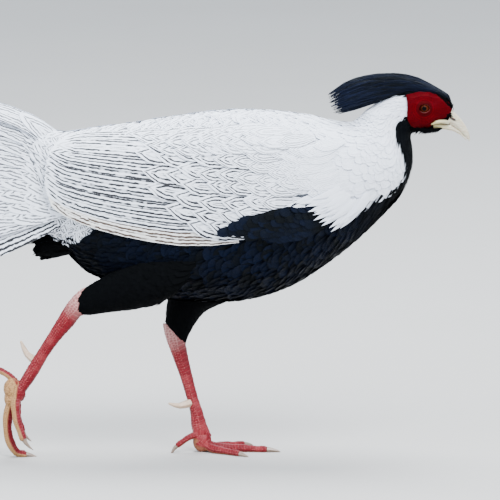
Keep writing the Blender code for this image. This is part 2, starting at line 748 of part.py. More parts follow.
def build_crest(collection):
    """The long black crest: rings of locks that lie back over a slimmer core."""
    loops = []
    for along in spread(0.03, CREST_CORE_END, 6):
        size = CREST_CORE * math.sqrt(max(1 - (along / CREST_CORE_END) ** 6, 0.02))
        loops.append([crest_point(along, 36 * j, size) for j in range(10)])
    ends = [sum(loop, Vector()) / len(loop) for loop in (loops[0], loops[-1])]
    core = tube("crest_core", loops, ends, collection)
    chance = random.Random(CREST_SEED)
    pieces = []
    for k, (first, last, half, angles) in enumerate(CREST_RINGS):
        for n, angle in enumerate(angles):
            waver = chance.uniform(-0.035, 0.035)
            turn = angle + chance.uniform(-5, 5)
            wide = half * chance.uniform(0.9, 1.1)
            path = []
            for t, size in zip((0, 0.3, 0.66, 1), CREST_SLOPE):
                along = first + (last + waver - first) * t
                path.append(crest_point(along, turn, size))
            widths = [wide * w for w in (0.7, 1, 0.8, 0.16)]
            middle = crest_point((first + last) / 2, 0, 0)
            pieces.append(lock(f"lock{k}_{n}", path, widths, middle, collection))
    return combine(core, pieces, "UNION")


def face_radius(angle):
    """The red face's outline round the eye."""
    turn = (angle + 60) % 360 - 60
    rim = FACE_RIM + [(FACE_RIM[0][0] + 360, FACE_RIM[0][1])]
    for (a, ra), (b, rb) in zip(rim, rim[1:]):
        if a <= turn <= b:
            t = (turn - a) / (b - a)
            t = t * t * (3 - 2 * t)
            return ra + (rb - ra) * t
    return rim[0][1]


def build_face(head, collection):
    """The left side of the bare red face: a lobed, velvety wattle with a ring of lid round the eye."""
    levels = spread(0, 1, FACE_RINGS)
    loops_out, loops_in = [], []
    for level in levels:
        outer, inner = [], []
        for j in range(FACE_SPOKES):
            angle = 360 * j / FACE_SPOKES
            radius = LID_RADIUS + (face_radius(angle) - LID_RADIUS) * level
            x = EYE_AT[0] + radius * math.cos(math.radians(angle))
            z = EYE_AT[1] + radius * math.sin(math.radians(angle)) * (0.8 + 0.2 * level)
            lid = 1.3 * math.exp(-((radius - LID_RADIUS - 1.2) / 1.5) ** 2)
            groove = -0.9 * math.exp(-((radius - LID_RADIUS - 4.2) / 1.6) ** 2)
            lobe = 0.9 * math.sin(math.radians(angle * 5 + 40)) * level ** 2
            rim = math.sqrt(max(1 - level ** 5, 0.0))
            rise = (FACE_THICK + lobe) * (0.35 + 0.65 * rim) + lid + groove
            for row, lift in ((outer, rise), (inner, -2.0)):
                spot = head.on_flank(x, z, lift)
                spot.y = max(spot.y, GAP)
                row.append(spot)
        loops_out.append(outer)
        loops_in.append(inner)
    loops = loops_out + loops_in[::-1]
    points = [p for loop in loops for p in loop]
    faces = []
    for k in range(len(loops)):
        after = (k + 1) % len(loops)
        for j in range(FACE_SPOKES):
            nxt = (j + 1) % FACE_SPOKES
            here, there = k * FACE_SPOKES, after * FACE_SPOKES
            faces.append((here + j, here + nxt, there + nxt, there + j))
    return outward_facing(object_from("face", points, faces, collection))


def ball(name, centre, radius, collection, segments=12, rings=8, scale=(1, 1, 1)):
    bpy.ops.mesh.primitive_uv_sphere_add(segments=segments, ring_count=rings, radius=radius * MM)
    obj = bpy.context.active_object
    obj.name = name
    obj.data.transform(Matrix.Diagonal((*scale, 1)))
    obj.data.transform(Matrix.Translation(Vector(centre) * MM))
    for owner in list(obj.users_collection):
        owner.objects.unlink(obj)
    collection.objects.link(obj)
    return obj


def round_limb(name, path, radii, sides, collection, plates=None, upper=(0, 0, 1)):
    """A limb of round section along a path of points, with a domed end at each side.
    plates gives the rise of its upper side at each point, and upper the way that this side faces."""
    loops = []
    for k, (spot, radius) in enumerate(zip(path, radii)):
        after, before = path[min(k + 1, len(path) - 1)], path[max(k - 1, 0)]
        along = (after - before).normalized()
        across = along.cross(Vector(upper)).normalized()
        up = across.cross(along)
        loop = []
        for j in range(sides):
            turn = 2 * math.pi * j / sides
            raised = radius + (plates[k] * max(math.sin(turn), 0) if plates else 0)
            loop.append(spot + (across * math.cos(turn) + up * math.sin(turn)) * raised)
        loops.append(loop)
    start = path[0] + (path[0] - path[1]).normalized() * radii[0] * 0.4
    end = path[-1] + (path[-1] - path[-2]).normalized() * radii[-1] * 0.6
    return tube(name, loops, (start, end), collection)


def build_toe(name, spec, upper, collection):
    """A toe with swollen pads and raised scutes, and the point and direction where its claw grows."""
    controls, thick, thin = spec
    toe = name.split("_")[1]
    shares = spread(0, 1, 2 * TOE_SCUTES[toe] + 1)
    path = [Vector(smooth_between(controls, t)) for t in shares]
    radii, plates = [], []
    for k, t in enumerate(shares):
        bulge = 0.35 * math.cos(2 * math.pi * TOE_PADS[toe] * t)
        radii.append(thick + (thin - thick) * t + bulge)
        plates.append(SCUTE_RISE if k % 2 else 0)
    limb = round_limb(name, path, radii, 6, collection, plates, upper)
    return limb, path[-1], (path[-1] - path[-2]).normalized(), thin


def build_claw(name, root, direction, radius, length, drop, collection):
    """A curved, pointed claw that grows from the end of a toe."""
    bend = Vector((0, 0, -drop)) if direction.z > -0.6 else Vector((0.5, 0, 0))
    path, radii = [], []
    for t in (0, 0.4, 0.75, 1):
        path.append(root + direction * (radius * 0.35 + length * t) + bend * length * t * t)
        radii.append(radius * 0.8 * (1 - t) ** 0.8 + 0.35)
    return round_limb(name, path, radii, 6, collection)


def floor_cutter(collection):
    bpy.ops.mesh.primitive_cube_add(size=1)
    box = bpy.context.active_object
    box.name = "below_floor"
    box.data.transform(Matrix.Diagonal((1.0, 0.6, 0.1, 1)))
    box.data.transform(Matrix.Translation((0.15, 0, -0.05)))
    for owner in list(box.users_collection):
        owner.objects.unlink(box)
    collection.objects.link(box)
    return box


def shank_scutes(front_angle):
    """The scutes down the front of a shank, as a saw-tooth rise of its surface."""

    def swell(share, angle):
        facing = max(math.cos(math.radians(angle - front_angle)), 0.0)
        tooth = 1 - (share * SHANK_SCUTES) % 1
        return SCUTE_RISE * tooth * facing

    return swell


def foot_ball(side, grow, collection):
    centre, radii = FOOT_BALLS[side]
    return ball("ball", centre, 1, collection, 10, 8, [r + grow for r in radii])


def build_leg(side, thigh_rows, shank_rows, toes, torso, collection):
    """Thigh, shank, spur, foot and claws of one leg, each cut clear of the piece it grows from."""
    shank_form = Form(shank_rows, 2 * SHANK_SCUTES + 1, 8, (3, 3), 2.0)

    def shank_cutter():
        return shank_form.mesh("grown", collection, GAP + SCUTE_RISE)

    thigh = Form(thigh_rows, 9, 12, (3, 2), 2.0).mesh("thigh", collection)
    for cutter in (torso.mesh("grown", collection, GAP), shank_cutter()):
        combine(thigh, [cutter], "DIFFERENCE")
    finished(thigh, f"thigh_{side}", "black_feather")

    root, bend, tip, radius = SPURS[side]
    path = [Vector(smooth_between([root, bend, tip], t)) for t in spread(0, 1, 5)]
    radii = [radius * (1 - t) ** 0.8 + 0.4 for t in spread(0, 1, 5)]
    spur = round_limb("spur", path, radii, 6, collection)
    combine(spur, [shank_cutter()], "DIFFERENCE")
    finished(spur, f"spur_{side}", "horn")

    shank = shank_form.mesh("shank", collection, swell=shank_scutes(180))
    foot = foot_ball(side, 0, collection)
    limbs, cutters = [], [foot_ball(side, GAP, collection)]
    for toe, (controls, thick, thin) in toes.items():
        upper = TOE_UPPER_SIDES[side]
        limbs.append(build_toe(f"toe_{toe}", (controls, thick, thin), upper, collection)[0])
        grown = (controls, thick + GAP, thin + GAP)
        limb, end, direction, _ = build_toe(f"toe_{toe}", grown, upper, collection)
        claw = build_claw("claw", end, direction, thin, CLAW_LENGTHS[toe], CLAW_DROP[toe], collection)
        for cutter in (limb, floor_cutter(collection)):
            combine(claw, [cutter], "DIFFERENCE")
        finished(claw, f"claw_{side}_{toe}", "horn")
        cutters.append(build_toe(f"toe_{toe}", grown, upper, collection)[0])
    combine(foot, limbs, "UNION")
    combine(foot, [floor_cutter(collection)], "DIFFERENCE")
    finished(foot, f"foot_{side}", "leg_skin")
    combine(shank, cutters, "DIFFERENCE")
    finished(shank, f"shank_{side}", "leg_skin", 25)


def build_vent(torso, collection):
    """The black feathers under the tail."""
    pieces = []
    for n, (side, rise, length, half, height) in enumerate(VENT_TUFTS):
        angle = math.radians(rise)
        rows = []
        for t in COVERT_STATIONS:
            x = VENT_ROOT_X - math.cos(angle) * length * t
            spot = Vector((x, side * (1 - 0.25 * t), height + math.sin(angle) * length * t))
            width = half * feather_width(t)
            across = SIDE_AXIS
            row = []
            for place in (-1, 0, 1):
                thick = 0 if place else 3.2 * (1 - 0.75 * t)
                at = spot + across * width * place + Vector((0, 0, -0.12 * width * place * place))
                row.append((at + Vector((0, 0, thick / 2)), at - Vector((0, 0, thick / 2))))
            rows.append(row)
        pieces.append(blade(f"vent{n}", rows, collection))
    root = ball("vent_root", VENT_ROOT, 1, collection, 12, 8, VENT_ROOT_SIZE)
    vent = combine(root, pieces, "UNION")
    return combine(vent, [torso.mesh("grown", collection, GAP)], "DIFFERENCE")


def gape_bars(head, collection, grow=0.0):
    """The rims of the mouth's corners."""
    bars = []
    for side in (1, -1):
        path = []
        for t in spread(0, 1, 5):
            x, z = smooth_between(GAPE_PATH, t)
            spot = head.on_flank(x, z, 0.9)
            path.append(Vector((spot.x, spot.y * side, spot.z)))
        radii = [r + grow for r in (1.0, 1.7, 2.0, 2.1, 2.0)]
        bars.append(round_limb("gape", path, radii, 6, collection))
    return bars


def build_bill(head, upper_form, lower_form, collection):
    """Upper and lower bill, with the gape's rim and the nostrils."""
    upper = upper_form.mesh("bill_upper", collection)
    combine(upper, gape_bars(head, collection), "UNION")
    combine(upper, [head.mesh("grown", collection, GAP)], "DIFFERENCE")
    x, z = NOSTRIL_AT
    cutters = [ball("nostril", (x, s * 5.4, z), 1, collection, 10, 6, (2.6, 1.8, 0.9)) for s in (1, -1)]
    combine(upper, cutters, "DIFFERENCE")
    lower = lower_form.mesh("bill_lower", collection)
    combine(lower, [head.mesh("grown", collection, GAP)], "DIFFERENCE")
    finished(upper, "bill_upper", "horn")
    finished(lower, "bill_lower", "horn")


def eye_ball(sign, grow, collection):
    return ball("eye", (EYE_AT[0], sign * EYE_SIDE, EYE_AT[1]), EYE_RADIUS + grow, collection)


def build_head(head_form, neck_form, bird):
    """Skull, bill, eyes, red face and crest."""
    upper_form = Form(UPPER_BILL_ROWS, 12, 10, (1, 0.3), 2.0)
    lower_form = Form(LOWER_BILL_ROWS, 8, 10, (1, 0.4), 2.0)
    head = head_form.mesh("head", bird)
    combine(head, [eye_ball(s, GAP, bird) for s in (1, -1)], "DIFFERENCE")
    finished(head, "head", "white_feather")
    build_bill(head_form, upper_form, lower_form, bird)
    crest = build_crest(bird)
    for trunk in (head_form, neck_form, upper_form):
        combine(crest, [trunk.mesh("grown", bird, GAP)], "DIFFERENCE")
    for side, sign in (("left", 1), ("right", -1)):
        finished(eye_ball(sign, 0, bird), f"eye_{side}", "eye", 60)
        face, wider = build_face(head_form, bird), grown(build_face(head_form, bird), GAP)
        if sign < 0:
            face, wider = mirrored(face, "face", bird, True), mirrored(wider, "wider", bird, True)
        combine(crest, [wider], "DIFFERENCE")
        combine(face, [eye_ball(sign, GAP, bird)], "DIFFERENCE")
        for trunk in (head_form, upper_form, lower_form):
            combine(face, [trunk.mesh("grown", bird, GAP)], "DIFFERENCE")
        combine(face, gape_bars(head_form, bird, GAP), "DIFFERENCE")
        finished(face, f"face_{side}", "red_skin")
    finished(crest, "crest", "black_feather")


def main():
    clear_scene()
    bird = new_collection("silver_pheasant")
    torso_form = Form(TORSO_ROWS, 17, 20, (6, FLAT))
    neck_form = Form(NECK_ROWS, 6, 20, (FLAT, FLAT))
    head_form = Form(HEAD_ROWS, 12, 16, (FLAT, 1), 2.1)
    finished(torso_form.mesh("torso", bird), "torso", "black_feather")
    finished(neck_form.mesh("neck", bird), "neck", "white_feather")
    build_head(head_form, neck_form, bird)

    wing = build_wing(Form(FLANK_ROWS), bird)
    combine(wing, [torso_form.mesh("grown", bird, GAP)], "DIFFERENCE")
    finished(wing, "wing_left", "white_feather", 30)
    finished(mirrored(wing, "wing_right", bird), "wing_right", "white_feather", 30)

    tail = build_tail(bird)
    combine(tail, [torso_form.mesh("grown", bird, GAP)], "DIFFERENCE")
    vent = build_vent(torso_form, bird)
    combine(vent, [Form(TAIL_ROOT_ROWS, 7, 10).mesh("grown", bird, GAP)], "DIFFERENCE")
    finished(tail, "tail", "white_feather", 30)
    finished(vent, "vent_feathers", "black_feather")

    build_leg("left", LEFT_THIGH_ROWS, LEFT_SHANK_ROWS, LEFT_TOES, torso_form, bird)
    build_leg("right", RIGHT_THIGH_ROWS, RIGHT_SHANK_ROWS, RIGHT_TOES, torso_form, bird)


main()
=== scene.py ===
# %% [markdown]
# # A silver pheasant, feather by feather
#
# The bird stands in mid-stride as a life-size model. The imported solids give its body, wings, tail and
# legs. This lesson dresses them: one skin under the coat, a coat of thousands of thin overlapping
# feathers, folded wings with black lines, a crest of fine strands, a red face, a pale bill and scaled red
# legs. Feathers could be cards with pictures on them, but real vanes catch the light at their edges from
# every side, so each one here is a small closed mesh, and its lines come from a pattern in the vane's own
# coordinates.

# %% Open the frame
import math

import bmesh
import bpy
import numpy as np
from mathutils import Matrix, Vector


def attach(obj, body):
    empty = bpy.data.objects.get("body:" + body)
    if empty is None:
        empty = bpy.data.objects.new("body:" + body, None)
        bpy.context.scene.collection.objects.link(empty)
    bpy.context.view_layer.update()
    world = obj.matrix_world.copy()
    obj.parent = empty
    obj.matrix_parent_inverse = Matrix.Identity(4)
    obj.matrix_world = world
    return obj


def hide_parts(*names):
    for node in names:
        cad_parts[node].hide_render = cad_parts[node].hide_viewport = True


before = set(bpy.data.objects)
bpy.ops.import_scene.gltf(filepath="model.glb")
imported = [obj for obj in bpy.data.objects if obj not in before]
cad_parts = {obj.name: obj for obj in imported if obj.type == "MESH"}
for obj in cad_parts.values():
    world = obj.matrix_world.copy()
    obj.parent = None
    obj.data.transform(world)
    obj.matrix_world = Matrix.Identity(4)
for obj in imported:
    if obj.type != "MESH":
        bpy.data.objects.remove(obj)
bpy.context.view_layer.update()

MM = 0.001
SIDES = (("left", 1), ("right", -1))  # with the sign of each side's y
chance = np.random.default_rng(11)


# %% [markdown]
# ## Camera, floor and light
#
# The bird was seen from its right side, from far off and a little above, so that its length is hardly
# foreshortened. A long lens eight metres away gives the same flat view. The floor is one plain pale
# sheet, and three large soft lamps and a pale sky stand in for an overcast day.

# %% Place the camera
def look_from(place, target):
    """The rotation that points a camera or lamp from a place to a target."""
    return (Vector(target) - Vector(place)).to_track_quat("-Z", "Y").to_euler()


VIEW_CENTRE = Vector((0.295, 0, 0.20556))
VIEW_WIDTH = 0.5
VIEW_DISTANCE = 8.0
VIEW_RISE = math.radians(8)
SENSOR_WIDTH = 36
lens_data = bpy.data.cameras.new("camera")
lens_data.sensor_width = SENSOR_WIDTH
lens_data.lens = SENSOR_WIDTH * VIEW_DISTANCE / VIEW_WIDTH
lens_data.clip_end = 100
camera = bpy.data.objects.new("camera", lens_data)
camera.location = VIEW_CENTRE + Vector((0, -math.cos(VIEW_RISE), math.sin(VIEW_RISE))) * VIEW_DISTANCE
camera.rotation_euler = look_from(camera.location, VIEW_CENTRE)
bpy.context.collection.objects.link(camera)
bpy.context.scene.camera = camera
print("camera at", [round(v, 3) for v in camera.location])


# %% Hang the lamps
def soft_lamp(name, place, target, size, power, colour):
    data = bpy.data.lights.new(name, "AREA")
    data.shape = "DISK"
    data.size = size
    data.energy = power
    data.color = colour
    lamp = bpy.data.objects.new(name, data)
    lamp.location = place
    lamp.rotation_euler = look_from(place, target)
    bpy.context.collection.objects.link(lamp)


soft_lamp("key_lamp", (1.2, -2.2, 3.0), (0.2, 0, 0.2), 2.0, 275, (0.95, 0.97, 1.0))
soft_lamp("fill_lamp", (-2.6, -1.6, 1.8), (0.1, 0, 0.2), 2.4, 115, (0.84, 0.92, 1.0))
soft_lamp("top_lamp", (0.2, 1.1, 3.2), (0.1, 0, 0.2), 2.0, 240, (0.92, 0.96, 1.0))
sky = bpy.data.worlds.new("pale_sky")
sky.use_nodes = True
sky.node_tree.nodes["Background"].inputs["Color"].default_value = (0.80, 0.89, 1.0, 1)
sky.node_tree.nodes["Background"].inputs["Strength"].default_value = 1.7
bpy.context.scene.world = sky

# %% [markdown]
# ## Shader maths as plain expressions
#
# A pattern of lines is a sum of many small nodes, which is hard to read when each is wired by hand. This
# class wraps one output socket, so that `1 - mask * 2` adds its Math nodes by itself. Colours are mixed
# by Mix nodes.

# %% A socket that can be calculated with
class Wire:
    """An output socket of a material's node tree."""

    def __init__(self, finish, socket):
        self.finish = finish
        self.socket = socket

    def maths(self, operation, *others):
        return self.finish.node("ShaderNodeMath", dict(enumerate((self, *others))), operation=operation)

    def __add__(self, other):
        return self.maths("ADD", other)

    def __sub__(self, other):
        return self.maths("SUBTRACT", other)

    def __rsub__(self, other):
        return self.finish.node("ShaderNodeMath", {0: other, 1: self}, operation="SUBTRACT")

    def __mul__(self, other):
        return self.maths("MULTIPLY", other)

    def __truediv__(self, other):
        return self.maths("DIVIDE", other)

    def __pow__(self, other):
        return self.maths("POWER", other)

    __radd__ = __add__
    __rmul__ = __mul__

    def step(self, low, high):
        """0 below low and 1 above high, with a soft step between. low may be the larger."""
        if low > high:
            return 1 - self.step(high, low)
        inputs = {"Value": self, "From Min": low, "From Max": high}
        return self.finish.node("ShaderNodeMapRange", inputs, interpolation_type="SMOOTHSTEP")

    def part(self, axis):
        """One of the x, y and z parts of a vector."""
        return self.finish.node("ShaderNodeSeparateXYZ", {"Vector": self}, out="XYZ".index(axis))


# %% A finish under construction
class Finish:
    """A Principled material, whose fixed numbers are set on the shader's own sockets."""

    def __init__(self, name, **fixed):
        self.material = bpy.data.materials.new(name)
        self.material.use_nodes = True
        self.tree = self.material.node_tree
        self.shader = self.tree.nodes["Principled BSDF"]
        for socket, value in fixed.items():
            self.shader.inputs[socket.replace("_", " ")].default_value = value

    def node(self, kind, inputs, out=0, **settings):
        """Adds any node: its settings first, then the values or links of its sockets."""
        node = self.tree.nodes.new(kind)
        for key, value in settings.items():
            setattr(node, key, value)
        for socket, value in inputs.items():
            if isinstance(value, Wire):
                self.tree.links.new(value.socket, node.inputs[socket])
            else:
                node.inputs[socket].default_value = value
        return Wire(self, node.outputs[out])

    def places(self):
        return self.node("ShaderNodeTexCoord", {}, out="Object")

    def speckle(self, scale, detail=2.0, places=None):
        """Soft noise from 0 to 1, with spots about 1 / scale of a metre across."""
        inputs = {"Vector": places or self.places(), "Scale": scale, "Detail": detail}
        return self.node("ShaderNodeTexNoise", inputs)

    def attribute(self, name, out="Vector"):
        return self.node("ShaderNodeAttribute", {}, out=out, attribute_name=name)

    def mix(self, share, first, second):
        first = first if isinstance(first, Wire) else (*first, 1)
        second = second if isinstance(second, Wire) else (*second, 1)
        return self.node("ShaderNodeMix", {0: share, 6: first, 7: second}, out=2, data_type="RGBA")

    def vane_numbers(self):
        """What a vane carries: across, along, distance from the shaft, and its four numbers."""
        vane = self.node("ShaderNodeUVMap", {}, uv_map="vane")
        across, along = vane.part("X"), vane.part("Y")
        side = (across * 2 - 1).maths("ABSOLUTE")
        plume = self.attribute("plume")
        return across, along, side, *(plume.part(axis) for axis in "XYZ"), self.attribute("plume", "Alpha")

    def feed(self, socket, wire):
        self.tree.links.new(wire.socket, self.shader.inputs[socket])

    def bump(self, height, strength, distance):
        inputs = {"Height": height, "Strength": strength, "Distance": distance}
        self.feed("Normal", self.node("ShaderNodeBump", inputs))


def mottled(name, scale, first, second, **fixed):
    """A finish of two colours in soft spots."""
    finish = Finish(name, **fixed)
    finish.feed("Base Color", finish.mix(finish.speckle(scale, 3.0), first, second))
    return finish


# %% [markdown]
# ## Finishes of the feathers
#
# Each vane carries a map named vane: across it from 0 to 1, and along it from root to tip. Each also
# carries four numbers named plume: its own chance number, how many dark lines lie between its shaft and
# its edge, how strong they are, and its length in metres. On the real bird the lines are nested and
# follow the feather's edge, so that they meet in a point at its tip, and they waver and break into
# dashes. So the pattern is a distance from shaft and tip, cut into equal bands, and each band is broken
# along its length by a noise of its own.

# %% White feathers with fine black lines
WHITE, LINE_BLACK = (0.80, 0.84, 0.93), (0.008, 0.008, 0.011)
FULL_TURN = 6.2832  # two pi


def lined_feather(name, white, line_colour, longest_point=0.022):
    """A white vane with nested lines, which meet in a point over its last longest_point metres at most."""
    finish = Finish(name, Roughness=0.62, Sheen_Weight=0.25, Sheen_Roughness=0.4, Specular_IOR_Level=0.35)
    across, along, side, own, lines, strength, length = finish.vane_numbers()
    point = (length * 0.38).maths("MINIMUM", longest_point)
    tip = (1 - (1 - along) * length / point).maths("MAXIMUM", 0)
    bowl = (side ** 1.5 + tip ** 1.7) ** 0.645
    places = finish.places()
    waver = finish.speckle(210, 2.0, places)
    phase = (bowl + (waver - 0.5) * 0.24) * lines + own * 0.4 + 0.22
    band = (phase.maths("FRACT") - 0.5).maths("ABSOLUTE")
    line = (band - strength * 0.08).step(0.20, 0.13)
    track = {"X": along * length * 85, "Y": phase.maths("FLOOR") * 5.3, "Z": own * 40}
    dashes = finish.speckle(1.0, 1.0, finish.node("ShaderNodeCombineXYZ", track)).step(0.34, 0.42)
    line = line * (0.35 + dashes * 0.65) * side.step(0.03, 0.10) * bowl.step(1.06, 0.99)
    shade = finish.speckle(38, 3.0, places)
    cream = tuple(c * k for c, k in zip(white, (0.93, 0.93, 0.92)))
    ground = finish.mix((shade * 0.5 + own * 0.3).maths("MINIMUM", 1), white, cream)
    quill = side.step(0.05, 0.015) * along.step(0.98, 0.7) * 0.22
    ground = finish.mix(quill, ground, (0.60, 0.59, 0.58))
    finish.feed("Base Color", finish.mix(line * strength, ground, line_colour))
    barbs = ((along * length * 800 - side * 9) * FULL_TURN).maths("SINE") * 0.5 + 0.5
    finish.bump(barbs * 0.4 + side.step(0.0, 0.10) * 0.5 + waver * 0.3, 0.35, 0.0004)
    return finish.material


white_feather = lined_feather("white_feather", WHITE, LINE_BLACK)
tail_feather = lined_feather("tail_feather", WHITE, LINE_BLACK, 0.2)
brown_lined_feather = lined_feather("brown_lined_feather", (0.80, 0.78, 0.755), (0.055, 0.035, 0.025))


# %% Blue-black feathers
def dark_feather(name, black, painted_sheen, shine, reflection):
    """A black vane whose outer part has a blue sheen painted into its colour. shine is its roughness,
    reflection its IOR.
    """
    finish = Finish(name, IOR=reflection, Specular_Tint=(0.7, 0.85, 1.0, 1))
    _, along, side, own, _, strength, length = finish.vane_numbers()
    places = finish.places()
    cloud = finish.speckle(30, 3.0, places)
    # Painted sheen: towards the vane's tip, in soft patches, the base colour is mixed from black towards a
    # blue colour that stands in for the blue gloss of light on the feathers. On black vanes the plume's
    # strength is the share of this painted sheen.
    painted_sheen_share = along.step(0.30, 0.9) * (cloud * 0.8 + own * 0.6).step(0.35, 1.0) * strength
    finish.feed("Base Color", finish.mix(painted_sheen_share, black, painted_sheen))
    finish.feed("Roughness", shine + finish.speckle(300, 1.0, places) * 0.2 + (1 - strength) * 0.25)
    barbs = ((along * length * 900 - side * 8) * FULL_TURN).maths("SINE") * 0.5 + 0.5
    finish.bump(barbs + finish.speckle(900, 2.0, places) * 0.6, 0.5, 0.0004)
    return finish.material


# The third colour of each black finish is its painted blue sheen.
black_feather = dark_feather(
    "blue_black_feather", (0.0007, 0.0008, 0.0011), (0.0015, 0.0034, 0.0125), 0.36, 1.17
)
thigh_feather = dark_feather("thigh_feather", (0.0012, 0.0012, 0.0013), (0.0022, 0.0023, 0.0028), 0.58, 1.12)
print("feather finishes:", [m.name for m in bpy.data.materials if m.name.endswith("feather")])

# %% [markdown]
# ## The shape of the coat
#
# The body is a rounded tube that runs from the rump to the brow. Each row below gives its back point and
# its belly point in side view and its half width, in millimetres, as the solids have them. A smooth curve
# through the rows gives any point of the coat from two numbers: how far along the rows it is, and its
# angle round from the back. Those two numbers are also an unwrap of the skin, which the bake map uses.

# %% Rows of the body and the thighs
BODY_ROWS = [
    (58, 338, 72, 236, 15, 0), (88, 328, 94, 214, 34, 0), (112, 324, 112, 204, 41, 0),
    (138, 328, 134, 184, 50, 0), (175, 333, 180, 166, 58, 0), (220, 340, 225, 156, 63, 0),
    (270, 346, 280, 155, 65, 0), (315, 346, 335, 170, 64, 0), (352, 342, 388, 205, 59, 0),
    (378, 336, 428, 242, 50, 0), (394, 334.5, 448, 265, 41, 0), (402, 338, 456.5, 286, 33.5, 0),
    (409, 344.5, 457.5, 304, 27, 0), (418, 353, 455.5, 320, 22, 0), (430, 362, 457.5, 323, 19.5, 0),
    (443, 369.5, 460.5, 325.5, 17.5, 0), (457, 373.5, 465, 327, 15.8, 0), (471, 371, 471, 328, 14.2, 0),
    (483, 364.5, 478, 328.5, 11.5, 0), (491.5, 357, 485, 329, 8.5, 0), (496, 349.5, 491, 331.5, 5.6, 0),
]
LEFT_THIGH_ROWS = [
    (206, 182, 300, 178, 26, 32), (212, 158, 284, 156, 24, 31), (210.5, 141, 253, 141, 17, 28),
    (210, 132, 241, 128.5, 12.5, 26.5), (210.5, 127.5, 233.5, 115.5, 9.4, 25.5),
    (219, 113, 230.5, 107.5, 6, 25),
]
RIGHT_THIGH_ROWS = [
    (236, 214, 210, 158, 27, -36), (190, 206, 200, 154, 25, -35.5), (160, 190, 176, 150, 19, -34),
    (143, 180, 152, 147, 14.5, -33), (130, 171.5, 134, 144.5, 10.5, -32), (124, 165, 124, 146, 7, -31.5),
]
FLANK_ROWS = [
    (60, 328, 62, 196, 35, 0), (112, 330, 112, 190, 47.5, 0), (138, 332, 134, 180, 54, 0),
    (175, 336, 180, 164, 60.5, 0), (220, 342, 225, 155, 65, 0), (270, 347, 280, 154, 66.5, 0),
    (315, 347, 335, 169, 65.5, 0), (352, 343, 388, 204, 60.5, 0), (378, 337, 428, 241, 51.5, 0),
]
BODY_POWER = 2.15  # of the cross-section; 2 is an ellipse


def row_at(rows, place):
    """A row on the smooth curve through the given ones. place counts rows from 0."""
    rows = np.asarray(rows, float)
    held = np.vstack([2 * rows[0] - rows[1], rows, 2 * rows[-1] - rows[-2]])
    i = np.clip(np.floor(place).astype(int), 0, len(rows) - 2)
    t = (place - i)[..., None]
    a, b, c, d = (held[i + k] for k in range(4))
    bend, twist = 2 * a - 5 * b + 4 * c - d, 3 * b - a - 3 * c + d
    return 0.5 * (2 * b + (c - a) * t + bend * t ** 2 + twist * t ** 3)


def unit(vectors):
    return vectors / np.maximum(np.linalg.norm(vectors, axis=-1, keepdims=True), 1e-9)


def coat_point(rows, place, angle, inset=0.0, power=BODY_POWER):
    """Points in millimetres, at an angle from the back (0) round the left side (90) to the belly (180)."""
    row = row_at(rows, place)
    back = np.stack([row[..., 0], row[..., 5], row[..., 1]], -1)
    belly = np.stack([row[..., 2], row[..., 5], row[..., 3]], -1)
    rise = (back - belly) / 2
    height = np.linalg.norm(rise, axis=-1)
    c, s = np.cos(np.radians(angle)), np.sin(np.radians(angle))
    along = np.sign(c) * np.abs(c) ** (2 / power) * (height - inset)
    out = np.sign(s) * np.abs(s) ** (2 / power) * (row[..., 4] - inset)
    return (back + belly) / 2 + unit(rise) * along[..., None] + np.array([0, 1, 0]) * out[..., None]


def coat_normal(rows, place, angle, power=BODY_POWER):
    """Unit vectors out of the coat."""
    ahead = coat_point(rows, place + 0.02, angle, 0, power) - coat_point(rows, place - 0.02, angle, 0, power)
    round_it = coat_point(rows, place, angle + 2, 0, power) - coat_point(rows, place, angle - 2, 0, power)
    return unit(np.cross(round_it, ahead))


test = coat_normal(BODY_ROWS, np.array([6.0]), np.array([0.0]))[0]
print("out of the back:", np.round(test, 2))

# %% [markdown]
# ## One builder for every vane
#
# A feather is a thin blade along a curved shaft. The builder takes the shafts of a whole patch of
# feathers at once, with the direction that their flat side faces and their half widths, and sweeps the
# same small ring of points along all of them. Every blade is closed, droops towards its edges, and leans
# a little over its neighbour.

# %% Build a patch of vanes
SMALL_RING = [(-1, 0.0), (0, 0.5), (1, 0.0), (0, -0.5)]
LARGE_RING = [(-1, 0.25), (-0.5, 0.45), (0, 0.75), (0.5, 0.45), (1, 0.25), (1, -0.25), (0, -0.5), (-1, -0.25)]


def tip_shape(t, roundness=2.4, widest=0.6, quill=0.45):
    """Half width along a vane, as a share: a narrow quill, a full middle and a rounded tip."""
    t = np.asarray(t, float)
    root = quill + (1 - quill) * np.clip(t / 0.3, 0, 1) ** 0.7
    past = np.clip((t - widest) / (1 - widest), 0, 1)
    return root * np.maximum(1 - past ** roundness, 0) ** (1 / roundness) + 0.02


def volume_inside(points, quads):
    """Positive where the four-sided faces point out of the shape that they close in."""
    a, b, c, d = (points[quads[:, i]] - points.mean(0) for i in range(4))
    return np.einsum("ij,ij->i", a, np.cross(b, c)).sum() + np.einsum("ij,ij->i", a, np.cross(c, d)).sum()


